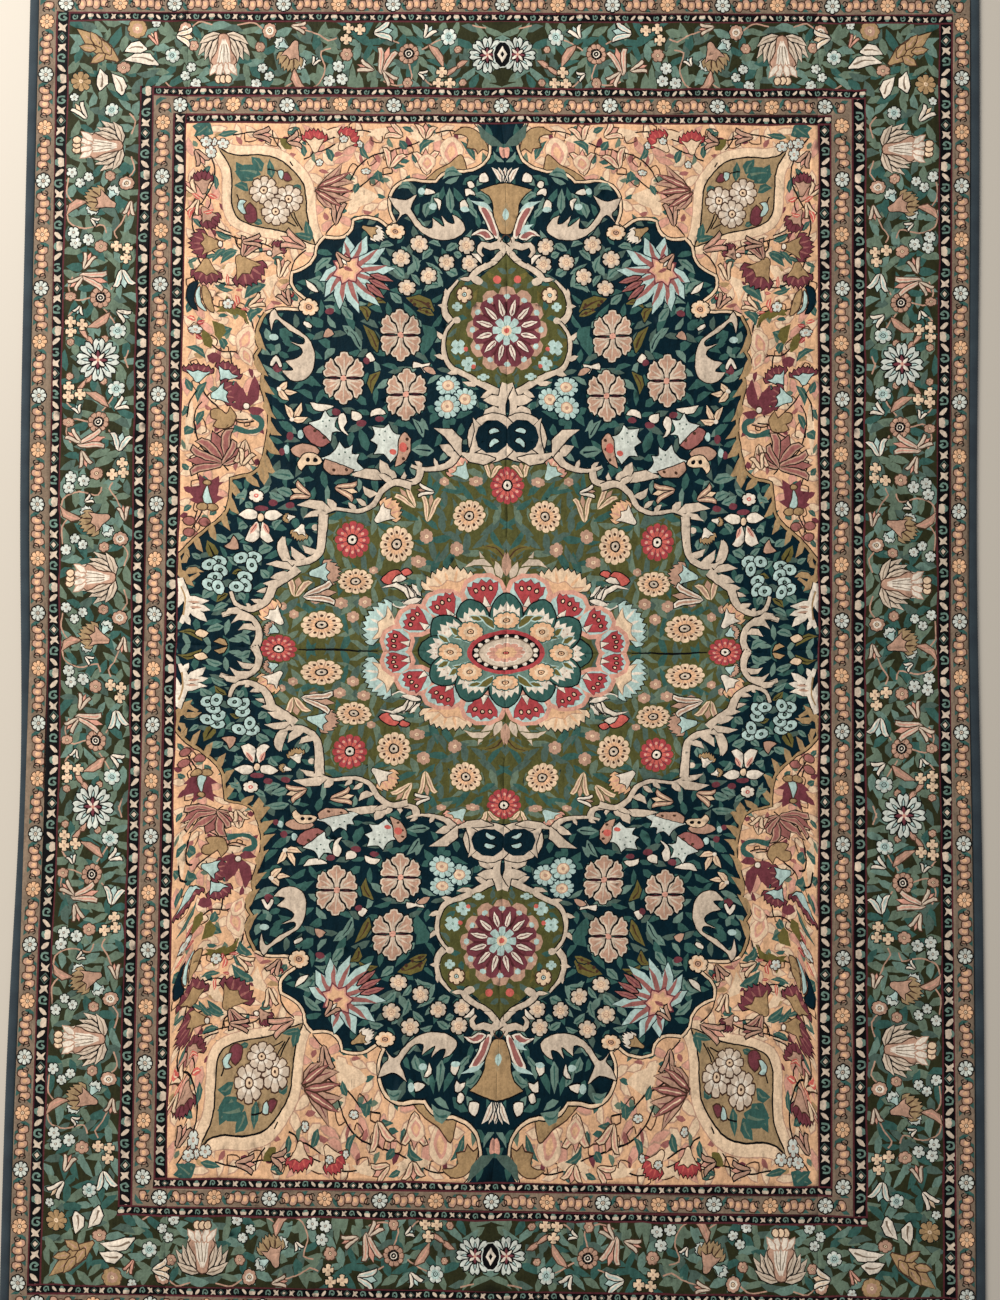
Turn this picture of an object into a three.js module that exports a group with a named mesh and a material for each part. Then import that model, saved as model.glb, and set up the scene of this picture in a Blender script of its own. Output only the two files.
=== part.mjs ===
// A hand-knotted pile rug lying flat on the floor: one knotted slab, and an overcast cord edging along each of its sides.
// Millimetres, +Z up, +Y along the rug. The origin is at the middle of the underside.
import * as THREE from "three";

// Driving dimensions
const RUG_WIDTH = 1700; // over the side edgings
const RUG_LENGTH = 2350; // over the end edgings
const PILE_TOP = 9; // floor to pile tips
const SIDE_EDGING_WIDTH = 18;
const END_EDGING_WIDTH = 17;
const EDGING_HEIGHT = 7.4;
const SEAM_GAP = 0.3; // between the slab and its edging, and at the mitred corners

const PILE_HALF_WIDTH = RUG_WIDTH / 2 - SIDE_EDGING_WIDTH;
const PILE_HALF_LENGTH = RUG_LENGTH / 2 - END_EDGING_WIDTH;

// How far the long sides draw in on their way: most at centre, fading over spread along the rug.
const SIDE_WANDER = [
  { side: -1, depth: 15, centre: -230, spread: 380 },
  { side: 1, depth: 9, centre: 180, spread: 470 },
];

// The slab's rim from the floor up: firm ground weave below, sheared pile rounding over above.
const RIM_SECTION = [
  { height: 0, inset: 0.8 },
  { height: 1.2, inset: 0 },
  { height: 5.6, inset: 0 },
  { height: 7.6, inset: 0.7 },
  { height: 8.6, inset: 2.0 },
  { height: PILE_TOP, inset: 4.2 },
];

// The edging's section, across from the slab outwards and up from the floor, as shares of its width and height.
const EDGING_SECTION = [
  { across: 0.05, up: 0 },
  { across: 0.92, up: 0 },
  { across: 0.99, up: 0.2 },
  { across: 1, up: 0.45 },
  { across: 0.95, up: 0.72 },
  { across: 0.8, up: 0.93 },
  { across: 0.58, up: 1 },
  { across: 0.32, up: 0.98 },
  { across: 0.1, up: 0.86 },
  { across: 0, up: 0.66 },
  { across: 0, up: 0.12 },
];

const SIDE_STEPS = 40; // stations along a long side, enough for its wander
const END_STEPS = 24; // stations along an end

const YARNS = {
  pile: { color: 0x4c5f4e, roughness: 0.95, metalness: 0 },
  edging: { color: 0x1c3044, roughness: 0.85, metalness: 0 },
};

// How far a long side is drawn in at a place along the rug.
function drawnIn(side, along) {
  return SIDE_WANDER.filter((wander) => wander.side === side)
    .map(({ depth, centre, spread }) => depth * Math.exp(-(((along - centre) / spread) ** 2)))
    .reduce((sum, inset) => sum + inset, 0);
}

// Evenly spaced values from -1 to 1.
function stations(steps) {
  return Array.from({ length: steps + 1 }, (_, i) => (2 * i) / steps - 1);
}

// A closed solid through rings of equal count, with each end closed by a fan about its ring's middle.
function loft(rings) {
  const count = rings[0].length;
  const points = rings.flat();
  const faces = [];
  for (let ring = 0; ring < rings.length - 1; ring += 1) {
    for (let i = 0; i < count; i += 1) {
      const next = (i + 1) % count;
      const [a, b] = [ring * count + i, ring * count + next];
      const [c, d] = [a + count, b + count];
      faces.push(a, b, d, a, d, c);
    }
  }
  const close = (ring, turned) => {
    const middle = points.length;
    const sum = rings[ring].reduce((total, point) => total.add(point), new THREE.Vector3());
    points.push(sum.divideScalar(count));
    for (let i = 0; i < count; i += 1) {
      const [a, b] = [ring * count + i, ring * count + ((i + 1) % count)];
      faces.push(middle, ...(turned ? [b, a] : [a, b]));
    }
  };
  close(0, true);
  close(rings.length - 1, false);
  return new THREE.BufferGeometry().setFromPoints(points).setIndex(faces);
}

// The slab's outline at one height, anticlockwise from above, set in from its widest line.
function pileOutline({ height, inset }) {
  const halfLength = PILE_HALF_LENGTH - inset;
  const sideX = (side, y) => side * (PILE_HALF_WIDTH - inset - drawnIn(side, y));
  const longSide = (side) =>
    stations(SIDE_STEPS).map((s) => {
      const y = side * s * halfLength;
      return new THREE.Vector3(sideX(side, y), y, height);
    });
  const end = (sign) => {
    const y = sign * halfLength;
    const inner = stations(END_STEPS).slice(1, -1);
    return inner.map((s) => new THREE.Vector3(sideX(Math.sign(-sign * s) || 1, y) * Math.abs(s), y, height));
  };
  return [...longSide(1), ...end(1), ...longSide(-1), ...end(-1)];
}

// One edging: its section carried along a side, with both ends cut to the corners' mitres.
function edging({ steps, width, place, innerHalf, mitreSlope }) {
  const rings = stations(steps).map((s) =>
    EDGING_SECTION.map(({ across, up }) => {
      const out = SEAM_GAP + across * (width - SEAM_GAP);
      const reach = innerHalf + out * mitreSlope - SEAM_GAP;
      const [x, y] = place(out, s * reach);
      return new THREE.Vector3(x, y, up * EDGING_HEIGHT);
    }),
  );
  return loft(rings);
}

function sideEdging(side) {
  return edging({
    steps: SIDE_STEPS,
    width: SIDE_EDGING_WIDTH,
    innerHalf: PILE_HALF_LENGTH,
    mitreSlope: END_EDGING_WIDTH / SIDE_EDGING_WIDTH,
    place: (out, along) => {
      const y = -side * along;
      return [side * (PILE_HALF_WIDTH - drawnIn(side, y) + out), y];
    },
  });
}

function endEdging(end) {
  return edging({
    steps: END_STEPS,
    width: END_EDGING_WIDTH,
    innerHalf: PILE_HALF_WIDTH,
    mitreSlope: SIDE_EDGING_WIDTH / END_EDGING_WIDTH,
    place: (out, along) => [end * along, end * (PILE_HALF_LENGTH + out)],
  });
}

function piece(name, geometry, yarn) {
  const mesh = new THREE.Mesh(geometry, new THREE.MeshStandardMaterial(yarn));
  geometry.computeVertexNormals();
  mesh.name = name;
  return mesh;
}

const rug = new THREE.Group();
rug.add(
  piece("knotted_pile", loft(RIM_SECTION.map(pileOutline)), YARNS.pile),
  piece("edging_left", sideEdging(-1), YARNS.edging),
  piece("edging_right", sideEdging(1), YARNS.edging),
  piece("edging_far_end", endEdging(1), YARNS.edging),
  piece("edging_near_end", endEdging(-1), YARNS.edging),
);

export default rug;
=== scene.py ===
"""A hand-knotted medallion rug, laid flat: dyed wool pile, cotton ground weave and overcast wool edgings."""

import logging
import math
import random
from dataclasses import dataclass, field, replace
from enum import Enum
from typing import Iterable, Sequence

import bpy
import numpy as np
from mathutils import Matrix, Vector
from mathutils.geometry import delaunay_2d_cdt

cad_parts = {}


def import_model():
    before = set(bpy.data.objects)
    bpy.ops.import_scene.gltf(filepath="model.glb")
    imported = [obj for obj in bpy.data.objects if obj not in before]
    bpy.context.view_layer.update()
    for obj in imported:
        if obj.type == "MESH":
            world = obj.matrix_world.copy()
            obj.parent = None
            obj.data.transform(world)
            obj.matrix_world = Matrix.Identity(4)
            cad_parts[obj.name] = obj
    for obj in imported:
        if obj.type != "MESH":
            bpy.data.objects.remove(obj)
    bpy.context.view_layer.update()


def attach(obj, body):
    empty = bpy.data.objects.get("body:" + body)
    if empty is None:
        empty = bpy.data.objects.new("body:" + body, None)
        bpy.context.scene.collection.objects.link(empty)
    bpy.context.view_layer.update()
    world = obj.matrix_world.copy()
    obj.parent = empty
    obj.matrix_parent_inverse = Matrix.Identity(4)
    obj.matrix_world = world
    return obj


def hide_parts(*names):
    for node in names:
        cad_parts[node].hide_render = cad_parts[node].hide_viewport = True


LOG = logging.getLogger("rug")
MM = 0.001

Point = Sequence[float]
Row = Sequence[float]


class Dye(Enum):
    """The dyed wools, as sRGB hex of the sheared pile."""

    NAVY = "07202a"
    INK = "0c0c0f"
    TEAL = "395e57"
    SEA = "6b867a"
    OLIVE = "55552f"
    FOREST = "2f301d"
    MOSS = "6b6234"
    PEACH = "e6b78f"
    SHELL = "eaccab"
    SALMON = "d9a08c"
    CORAL = "cc655b"
    RED = "ad474a"
    ROSE = "9f655f"
    WINE = "733b43"
    CAMEL = "ac8d66"
    TAN = "bd9680"
    BROWN = "4a3226"
    BEIGE = "d3c0ab"
    IVORY = "e9dcca"
    AQUA = "b4cdc6"
    TAUPE = "847261"
    MAROON = "57292e"
    SLATE = "50645b"
    SAGE = "687a68"
    PEARL = "d0d5cb"
    FAWN = "a58b68"


class Sheen(Enum):
    """How much sheen a wool finish has, as a weight of the shader."""

    PILE = 0.008
    CORD = 0.1


def linear(hex_colour: str) -> tuple[float, float, float]:
    """Turn an sRGB hex colour to linear.

    Args:
        hex_colour: Six hex digits.

    Returns:
        Linear red, green and blue.
    """
    parts = [int(hex_colour[i : i + 2], 16) / 255 for i in (0, 2, 4)]
    return tuple(c / 12.92 if c <= 0.04045 else ((c + 0.055) / 1.055) ** 2.4 for c in parts)


def smooth(points: Sequence[Point], closed: bool, grain: float = 6.0) -> np.ndarray:
    """Draw a centripetal curve through points.

    Args:
        points: Points (x, y) or (x, y, 1), where the 1 marks a sharp corner.
        closed: Whether the curve comes back to its first point.
        grain: Length of a step along the curve, in millimetres.

    Returns:
        The curve's points, one row each.
    """
    count = len(points)
    xy = np.array([p[:2] for p in points], float)
    sharp = [len(p) > 2 for p in points]
    out: list[np.ndarray] = []
    for i in range(count if closed else count - 1):
        ids = [(i + k) % count if closed else min(max(i + k, 0), count - 1) for k in (-1, 0, 1, 2)]
        a, b, c, d = xy[ids]
        d1, d2, d3 = (max(math.dist(*pair), 1e-6) ** 0.5 for pair in ((a, b), (b, c), (c, d)))
        out_b = (d1 * d1 * c - d2 * d2 * a + (2 * d1 * d1 + 3 * d1 * d2 + d2 * d2) * b) / (3 * d1 * (d1 + d2))
        in_c = (d3 * d3 * b - d2 * d2 * d + (2 * d3 * d3 + 3 * d3 * d2 + d2 * d2) * c) / (3 * d3 * (d3 + d2))
        if sharp[ids[1]] or ids[0] == ids[1]:
            out_b = b + (c - b) / 3
        if sharp[ids[2]] or ids[2] == ids[3]:
            in_c = c + (b - c) / 3
        steps = min(max(round(math.dist(b, c) / grain), 2), 8)
        t = np.arange(steps)[:, None] / steps
        out.append((1 - t) ** 3 * b + 3 * t * (1 - t) ** 2 * out_b + 3 * t * t * (1 - t) * in_c + t**3 * c)
    if not closed:
        out.append(xy[-1:])
    return np.concatenate(out)


def grown(loop: np.ndarray, by: float) -> np.ndarray:
    """Move a closed loop outwards along its corners' normals.

    Args:
        loop: The loop's points, anticlockwise.
        by: Distance in millimetres.

    Returns:
        The moved loop.
    """
    ahead = np.roll(loop, -1, 0) - loop
    ahead /= np.maximum(np.hypot(*ahead.T), 1e-6)[:, None]
    behind = np.roll(ahead, 1, 0)
    normal = np.stack([ahead[:, 1] + behind[:, 1], -ahead[:, 0] - behind[:, 0]], 1)
    normal /= np.maximum((normal**2).sum(1) / 2, 0.7)[:, None]
    return loop + normal * by


def area(loop: np.ndarray) -> float:
    """Give a loop's area, less than nothing where it runs clockwise."""
    x, y = loop.T
    return float(x @ np.roll(y, -1) - y @ np.roll(x, -1)) / 2


def turned_left(loop: np.ndarray) -> np.ndarray:
    """Give a loop in anticlockwise order, its last point one where its inside is surely on the left.

    Args:
        loop: The loop's points, in either order. It may cross itself.

    Returns:
        The loop in order.
    """
    if area(loop) < 0:
        loop = loop[::-1]
    last = 0
    for last in (*loop.argmin(0), *loop.argmax(0)):
        ahead, behind = loop[(last + 1) % len(loop)] - loop[last], loop[last - 1] - loop[last]
        if ahead[0] * behind[1] - ahead[1] * behind[0] > 0:
            break
    return np.roll(loop, -last - 1, 0)


@dataclass
class Cartoon:
    """The weaver's drawing: patches of one dye each, a later one over an earlier one."""

    loops: list[np.ndarray] = field(default_factory=list)
    dyes: list[Dye] = field(default_factory=list)

    def patch(self, loop: np.ndarray, dye: Dye) -> None:
        """Lay one patch over what is there.

        Args:
            loop: The patch's outline in millimetres.
            dye: Its wool.
        """
        step = np.abs(loop - np.roll(loop, 1, 0)).sum(1)
        loop = loop[step > 0.02]
        if len(loop) > 2:
            self.loops.append(turned_left(loop))
            self.dyes.append(dye)


@dataclass(frozen=True)
class Pen:
    """Draws into a cartoon from a place of its own, turned, stretched or mirrored."""

    cartoon: Cartoon
    grid: tuple[tuple[float, float, float], tuple[float, float, float]] = ((1, 0, 0), (0, 1, 0))

    def at(self, x: float, y: float, turn: float = 0.0, wide: float = 1.0,
            high: float | None = None) -> "Pen":
        """Move on from this pen's place.

        Args:
            x: Across, in this pen's units.
            y: Along.
            turn: Degrees anticlockwise.
            wide: Stretch across.
            high: Stretch along, the same as across where none is given.

        Returns:
            A pen at the new place.
        """
        high = wide if high is None else high
        c, s = math.cos(math.radians(turn)), math.sin(math.radians(turn))
        local = np.array([[c * wide, -s * high, x], [s * wide, c * high, y], [0, 0, 1]])
        both = np.array([*self.grid, (0, 0, 1)]) @ local
        return replace(self, grid=tuple(map(tuple, both[:2])))

    @property
    def scale(self) -> float:
        """Millimetres for one of this pen's units."""
        (a, b, _), (c, d, _) = self.grid
        return abs(a * d - b * c) ** 0.5

    def place(self, points: Sequence[Point]) -> list[tuple[float, ...]]:
        """Bring points from this pen's place to the rug, with their corner marks."""
        (a, b, e), (c, d, f) = self.grid
        return [(a * p[0] + b * p[1] + e, c * p[0] + d * p[1] + f, *p[2:]) for p in points]

    def fill(self, dye: Dye, points: Sequence[Point], rim: Dye | None = None, rim_mm: float = 2.0) -> None:
        """Fill a smooth closed shape.

        Args:
            dye: The wool inside.
            points: Points of its outline, corners marked with a third 1.
            rim: The wool of an outline round it.
            rim_mm: How broad that outline is.
        """
        loop = turned_left(smooth(self.place(points), True))
        if rim:
            self.cartoon.patch(grown(loop, rim_mm), rim)
        self.cartoon.patch(loop, dye)

    def poly(self, dye: Dye, points: Sequence[Point], rim: Dye | None = None, rim_mm: float = 2.0) -> None:
        """Fill a straight-sided shape, with an outline as fill has."""
        loop = turned_left(np.array([p[:2] for p in self.place(points)]))
        if rim:
            self.cartoon.patch(grown(loop, rim_mm), rim)
        self.cartoon.patch(loop, dye)

    def piped(self, edge: Dye, inside: Dye, points: Sequence[Point], pipe_mm: float,
            rim: Dye | None = None) -> None:
        """Fill a straight-sided shape with a narrow band of another wool along its edge.

        Args:
            edge: The wool of the band.
            inside: The wool within it.
            points: Points of the outline.
            pipe_mm: How broad the band is.
            rim: The wool of an outline round it all.
        """
        self.poly(edge, points, rim)
        loop = turned_left(np.array([p[:2] for p in self.place(points)]))
        within = grown(loop, -pipe_mm)
        if area(within) > 0.15 * area(loop):
            self.cartoon.patch(within, inside)

    def blob(
        self, dye: Dye, x: float, y: float, rx: float, ry: float | None = None, rim: Dye | None = None,
        sides: int = 10
    ) -> None:
        """Fill an oval.

        Args:
            dye: The wool inside.
            x: Its middle, across.
            y: Its middle, along.
            rx: Half its width.
            ry: Half its height, as its width where none is given.
            rim: The wool of an outline round it.
            sides: How many points it has.
        """
        turns = np.arange(sides) * 2 * math.pi / sides
        ry = rx if ry is None else ry
        self.poly(dye, np.stack([x + rx * np.cos(turns), y + ry * np.sin(turns)], 1), rim)

    def line(self, dye: Dye, points: Sequence[Point], width: float, end: float | None = None) -> None:
        """Draw an open stroke.

        Args:
            dye: Its wool.
            points: Points that it runs through.
            width: How broad it starts, in millimetres.
            end: How broad it ends, as it starts where none is given.
        """
        way = smooth(self.place(points), False, 8.0)
        run = np.gradient(way, axis=0)
        run /= np.maximum(np.hypot(*run.T), 1e-6)[:, None]
        side = np.stack([-run[:, 1], run[:, 0]], 1)
        half = np.linspace(width, width if end is None else end, len(way))[:, None] / 2
        self.cartoon.patch(np.concatenate([way + side * half, (way - side * half)[::-1]]), dye)

    def blade(
        self,
        dye: Dye,
        start: Point,
        tip: Point,
        width: float,
        bend: float = 0.0,
        vein: Dye | None = None,
        rim: Dye | None = None,
    ) -> None:
        """Draw a pointed leaf from its foot to its tip.

        Args:
            dye: Its wool.
            start: Where its foot is.
            tip: Where its tip is.
            width: How broad it is at its broadest.
            bend: How far its middle swings to the left, as a share of its length.
            vein: The wool of a line down its middle.
            rim: The wool of its outline.
        """
        a, b = np.array(start[:2], float), np.array(tip[:2], float)
        along = b - a
        side = np.array([-along[1], along[0]])
        reach = max(np.hypot(*along), 1e-6)
        wide = width / reach
        profile = ((0.0, 0.12), (0.28, 0.92), (0.66, 0.8))
        middle = [(t, 4 * bend * t * (1 - t)) for t, _ in profile]
        left = [a + along * t + side * (m + wide * w / 2) for (t, m), (_, w) in zip(middle, profile)]
        right = [a + along * t + side * (m - wide * w / 2) for (t, m), (_, w) in zip(middle, profile)]
        self.poly(dye, [*left, b, *right[::-1]], rim)
        if vein:
            spine = [a + along * t + side * 4 * bend * t * (1 - t) for t in (0.15, 0.5, 0.8)]
            self.line(vein, spine, max(1.6, 0.2 * width * self.scale), 1.0)


def ring_points(petals: int, notch: float, soft: float = 0.2) -> list[tuple[float, float]]:
    """Give the outline of a flower with round petals, one unit out.

    Args:
        petals: How many petals.
        notch: How far in the notches between them go.
        soft: How square the petals' shoulders are.

    Returns:
        Points of the outline.
    """
    points = []
    for k in range(petals):
        for share, reach in ((0, notch), (soft, 0.97), (0.5, 1.0), (1 - soft, 0.97)):
            turn = (k + share - 0.5) / petals * 2 * math.pi
            points.append((reach * math.sin(turn), reach * math.cos(turn)))
    return points


@dataclass(frozen=True)
class Rosette:
    """A round flower seen from above."""

    petals: int
    body: Dye
    rim: Dye | None = None
    blush: Dye | None = None
    seam: Dye | None = None
    dots: Dye | None = None
    ring: Dye | None = None
    eye: Dye | None = None
    notch: float = 0.86
    eye_share: float = 0.24
    rim_mm: float = 2.2

    def draw(self, pen: Pen, x: float, y: float, width: float, height: float, turn: float = 0.0) -> None:
        """Draw the flower.

        Args:
            pen: The pen to draw with.
            x: Its middle, across.
            y: Its middle, along.
            width: How broad it is.
            height: How long it is.
            turn: Degrees anticlockwise.
        """
        own = pen.at(x, y, turn, width / 2, height / 2)
        outline = ring_points(self.petals, self.notch)
        own.poly(self.body, outline, self.rim, self.rim_mm)
        if self.blush:
            own.poly(self.blush, [(0.58 * px, 0.58 * py) for px, py in outline])
        for k in range(self.petals):
            spoke = own.at(0, 0, (k + 0.5) * 360 / self.petals)
            if self.seam:
                spoke.poly(self.seam, [(-0.012, 0.25), (0.012, 0.25), (0.035, self.notch),
                    (-0.035, self.notch)])
            if self.dots:
                own.at(0, 0, k * 360 / self.petals).blob(self.dots, 0, 0.66, 0.085, 0.1, sides=6)
        if self.ring:
            own.blob(self.ring, 0, 0, self.eye_share + 0.09, sides=12)
        if self.eye:
            own.blob(self.eye, 0, 0, self.eye_share, sides=10)
            own.blob(self.ring or self.body, 0, 0, self.eye_share * 0.4, sides=6)


PEACH_ROSETTE = Rosette(12, Dye.SHELL, Dye.OLIVE, Dye.PEACH, Dye.TAN, Dye.BROWN, Dye.INK, Dye.BEIGE)
RED_ROSETTE = Rosette(12, Dye.RED, Dye.OLIVE, Dye.CORAL, Dye.WINE, Dye.SALMON, Dye.INK, Dye.IVORY)
SMALL_PEACH = Rosette(10, Dye.PEACH, Dye.TEAL, Dye.SHELL, None, None, Dye.BROWN, Dye.PEACH, 0.84, 0.2)
TAN_FLORET = Rosette(6, Dye.TAN, None, None, None, None, None, Dye.SHELL, 0.82, 0.28)
PINK_FLORET = Rosette(6, Dye.BEIGE, Dye.INK, Dye.SHELL, Dye.TAN, None, Dye.TAN, Dye.SHELL, 0.72, 0.22)
AQUA_CLUSTER = Rosette(10, Dye.AQUA, Dye.NAVY, None, Dye.SEA, None, Dye.TAN, Dye.SHELL, 0.76, 0.42)
WHITE_TRIO = Rosette(8, Dye.BEIGE, Dye.BROWN, Dye.IVORY, Dye.BROWN, None, Dye.BROWN, Dye.SHELL, 0.74, 0.24)


@dataclass(frozen=True)
class Snowflake:
    """A six-lobed flower with a trefoil at its head and foot and fingered lobes at its sides."""

    edge: Dye = Dye.BEIGE
    inside: Dye = Dye.TAN
    rim: Dye = Dye.INK

    def draw(self, pen: Pen, x: float, y: float, width: float, height: float) -> None:
        """Draw the flower.

        Args:
            pen: The pen to draw with.
            x: Its middle, across.
            y: Its middle, along.
            width: How broad it is.
            height: How long it is.
        """
        crown = ((0.1, 0.12), (0.15, 0.42), (0.36, 0.54), (0.48, 0.7), (0.38, 0.82), (0.22, 0.84),
            (0.16, 0.97))
        lobe = (
            (0.06, 0.05), (0.28, 0.4), (0.46, 0.5), (0.54, 0.7), (0.68, 0.76), (0.76, 0.62), (0.88, 0.6),
            (0.94, 0.44),
            (0.88, 0.34), (1.0, 0.24), (0.98, 0.1), (0.86, 0.04),
        )
        whole = [*crown, (0, 1.0), *((-px, py) for px, py in crown[::-1])]
        for across in (1, -1):
            for along in (1, -1):
                own = pen.at(x, y, 0, across * width / 2, along * height / 2)
                own.piped(self.edge, self.inside, lobe, 2.4, self.rim)
                for tip in ((0.6, 0.62), (0.82, 0.42), (0.86, 0.16)):
                    own.blade(self.edge, (0.12, 0.09), tip, 0.08)
                own.blade(Dye.MAROON, (0.2, 0.04), (0.8, 0.05), 0.05)
        for along in (1, -1):
            own = pen.at(x, y, 0, width / 2, along * height / 2)
            own.piped(self.edge, self.inside, whole, 2.4, self.rim)
            for tip in (-0.34, 0, 0.34):
                own.blade(self.edge, (0, 0.14), (tip, 0.9 - abs(tip) * 0.5), 0.08)
        pen.at(x, y).blob(Dye.SALMON, 0, 0, width * 0.075, height * 0.06)


@dataclass(frozen=True)
class Carnation:
    """A fan-shaped flower in side view: a cup, and a jagged head above it."""

    head: Dye
    cup: Dye
    rim: Dye = Dye.BROWN
    fleck: Dye | None = None
    teeth: int = 7

    def draw(self, pen: Pen, x: float, y: float, width: float, length: float, turn: float = 0.0) -> None:
        """Draw the flower from its foot up.

        Args:
            pen: The pen to draw with.
            x: Its foot, across.
            y: Its foot, along.
            width: How broad its head is.
            length: How long it is, foot to head.
            turn: Degrees anticlockwise from upright.
        """
        own = pen.at(x, y, turn, width, length)
        fan = [(-0.3, 0.42), (-0.5, 0.5)]
        for k in range(self.teeth):
            t = (k + 0.5) / self.teeth * 2 - 1
            crown = 1 - 0.34 * t * t
            fan += [(0.54 * t - 0.05, crown - 0.09), (0.57 * t, crown), (0.54 * t + 0.05, crown - 0.09)]
        own.poly(self.head, [*fan, (0.5, 0.5), (0.3, 0.42)], Dye.INK, 1.6)
        if self.fleck:
            for k in range(3):
                own.blade(self.fleck, (0.12 * (k - 1), 0.5), (0.26 * (k - 1), 0.86), 0.07)
        cup = ((-0.07, 0.0), (-0.16, 0.2), (-0.4, 0.58, 1), (-0.18, 0.5), (0, 0.62, 1), (0.18, 0.5),
            (0.4, 0.58, 1))
        own.fill(self.cup, [*cup, (0.16, 0.2), (0.07, 0.0)], self.rim, 1.6)


@dataclass(frozen=True)
class Lily:
    """An open flower in side view: two curled outer petals and a middle one."""

    petal: Dye
    heart: Dye
    rim: Dye = Dye.INK

    def draw(self, pen: Pen, x: float, y: float, width: float, length: float, turn: float = 0.0) -> None:
        """Draw the flower from its foot up.

        Args:
            pen: The pen to draw with.
            x: Its foot, across.
            y: Its foot, along.
            width: How broad it opens.
            length: How long it is, foot to tips.
            turn: Degrees anticlockwise from upright.
        """
        own = pen.at(x, y, turn, width, length)
        own.blade(self.heart, (0, 0.1), (0, 1.0), 0.4, 0, None, self.rim)
        for side in (-1, 1):
            half = own.at(0, 0, 0, side, 1)
            petal = ((0, 0), (0.14, 0.1), (0.26, 0.34), (0.38, 0.64), (0.54, 0.86), (0.36, 0.9),
                (0.2, 0.78), (0.08, 0.5))
            half.piped(self.petal, self.heart, petal, 2.6, self.rim)


@dataclass(frozen=True)
class Palmette:
    """A large flower with long two-coloured petals all round a warm heart."""

    petal: Dye = Dye.AQUA
    stripe: Dye = Dye.ROSE
    heart: Dye = Dye.PEACH

    def draw(self, pen: Pen, x: float, y: float, size: float, turn: float = 0.0) -> None:
        """Draw the flower, its long petals ahead.

        Args:
            pen: The pen to draw with.
            x: Its heart, across.
            y: Its heart, along.
            size: Length of its longest petals.
            turn: Degrees anticlockwise from upright.
        """
        own = pen.at(x, y, turn, size)
        # offset from ahead in degrees, length, breadth
        petals = (
            (128, 0.62, 0.3), (-122, 0.7, 0.3), (98, 0.74, 0.3), (-90, 0.8, 0.3), (70, 0.86, 0.3),
            (-60, 0.9, 0.3),
            (44, 0.96, 0.28), (-32, 1.0, 0.28), (18, 1.04, 0.26), (-8, 0.9, 0.24),
        )
        for angle, length, breadth in petals:
            one = own.at(0, 0, angle)
            one.blade(self.petal, (0, 0.05), (0, length), breadth, 0.06, None, Dye.NAVY)
        for angle, length, breadth in petals:
            one = own.at(0, 0, angle)
            one.blade(self.stripe, (-0.02, 0.08), (0.05, length * 0.84), breadth * 0.42, 0.05)
            one.blade(self.petal, (0.03, 0.3), (0.06, length * 0.7), breadth * 0.12)
        for angle in (-16, -4, 8):
            own.at(0, 0, angle).blade(Dye.ROSE, (0, 0.5), (0, 0.98), 0.13, 0, Dye.WINE, Dye.INK)
        flame = [(0.26 * math.sin(k * math.tau / 14) * (1.25 if k % 2 else 0.85),
                  0.24 * math.cos(k * math.tau / 14) * (1.25 if k % 2 else 0.85)) for k in range(14)]
        own.poly(Dye.WINE, [(1.16 * px, 1.16 * py) for px, py in flame])
        own.piped(Dye.SALMON, self.heart, flame, 3.0)
        own.blade(Dye.ROSE, (0, -0.1), (0.02, 0.12), 0.1, 0, Dye.WINE)


def feather(pen: Pen, dye: Dye, spine: Sequence[Point], width: float, teeth: Iterable[Row],
        rim: Dye = Dye.INK) -> None:
    """Draw a scroll of acanthus: a broad tapering ribbon with leaf points along it.

    Args:
        pen: The pen to draw with.
        dye: Its wool.
        spine: Points that it runs through.
        width: How broad the ribbon starts; it ends at a third of that.
        teeth: Rows of foot x, foot y, tip x, tip y, breadth and bend, one for each leaf point.
        rim: The wool of its outline.
    """
    rows = list(teeth)
    pen.line(rim, spine, width + 4, width / 3 + 4)
    for x0, y0, x1, y1, broad, bend in rows:
        pen.blade(rim, (x0, y0), (x1, y1), broad + 4, bend)
    pen.line(dye, spine, width, width / 3)
    for x0, y0, x1, y1, broad, bend in rows:
        pen.blade(dye, (x0, y0), (x1, y1), broad, bend)


@dataclass(frozen=True)
class Placing:
    """Rows of one kind of flower: each row holds the arguments of its draw method after the pen."""

    flower: Rosette | Snowflake | Carnation | Lily | Palmette
    rows: tuple[Row, ...]


@dataclass
class LeafGround:
    """A ground strewn with small leaves that lean away from a point."""

    outline: Sequence[Point]
    spacing: float
    length: float
    width: float
    dyes: tuple[Dye, ...]
    away_from: Point
    seed: int

    def rows(self) -> list[tuple[Point, Point, float, float, Dye]]:
        """Lay the leaves out.

        Returns:
            Foot, tip, breadth, bend and wool of each leaf.
        """
        chance = random.Random(self.seed)
        loop = smooth(self.outline, True)
        (x0, y0), (x1, y1) = loop.min(0), loop.max(0)
        leaves = []
        for i, y in enumerate(np.arange(max(y0, 0) + 8, y1, self.spacing * 0.86)):
            for x in np.arange(max(x0, 0) + 8 + (i % 2) * self.spacing / 2, x1, self.spacing):
                px = x + chance.uniform(-0.22, 0.22) * self.spacing
                py = y + chance.uniform(-0.22, 0.22) * self.spacing
                lean = math.atan2(py - self.away_from[1], px - self.away_from[0])
                lean += math.radians(chance.choice((-58, -32, 28, 55)) + chance.uniform(-12, 12))
                reach = self.length * chance.uniform(0.75, 1.15) / 2
                step = np.array([math.cos(lean), math.sin(lean)]) * reach
                dye = chance.choice(self.dyes)
                bend = chance.uniform(-0.16, 0.16)
                broad = self.width * chance.uniform(0.8, 1.2)
                if inside(loop, px, py):
                    leaves.append(((px - step[0], py - step[1]), (px + step[0], py + step[1]), broad, bend,
                        dye))
        return leaves


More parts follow.
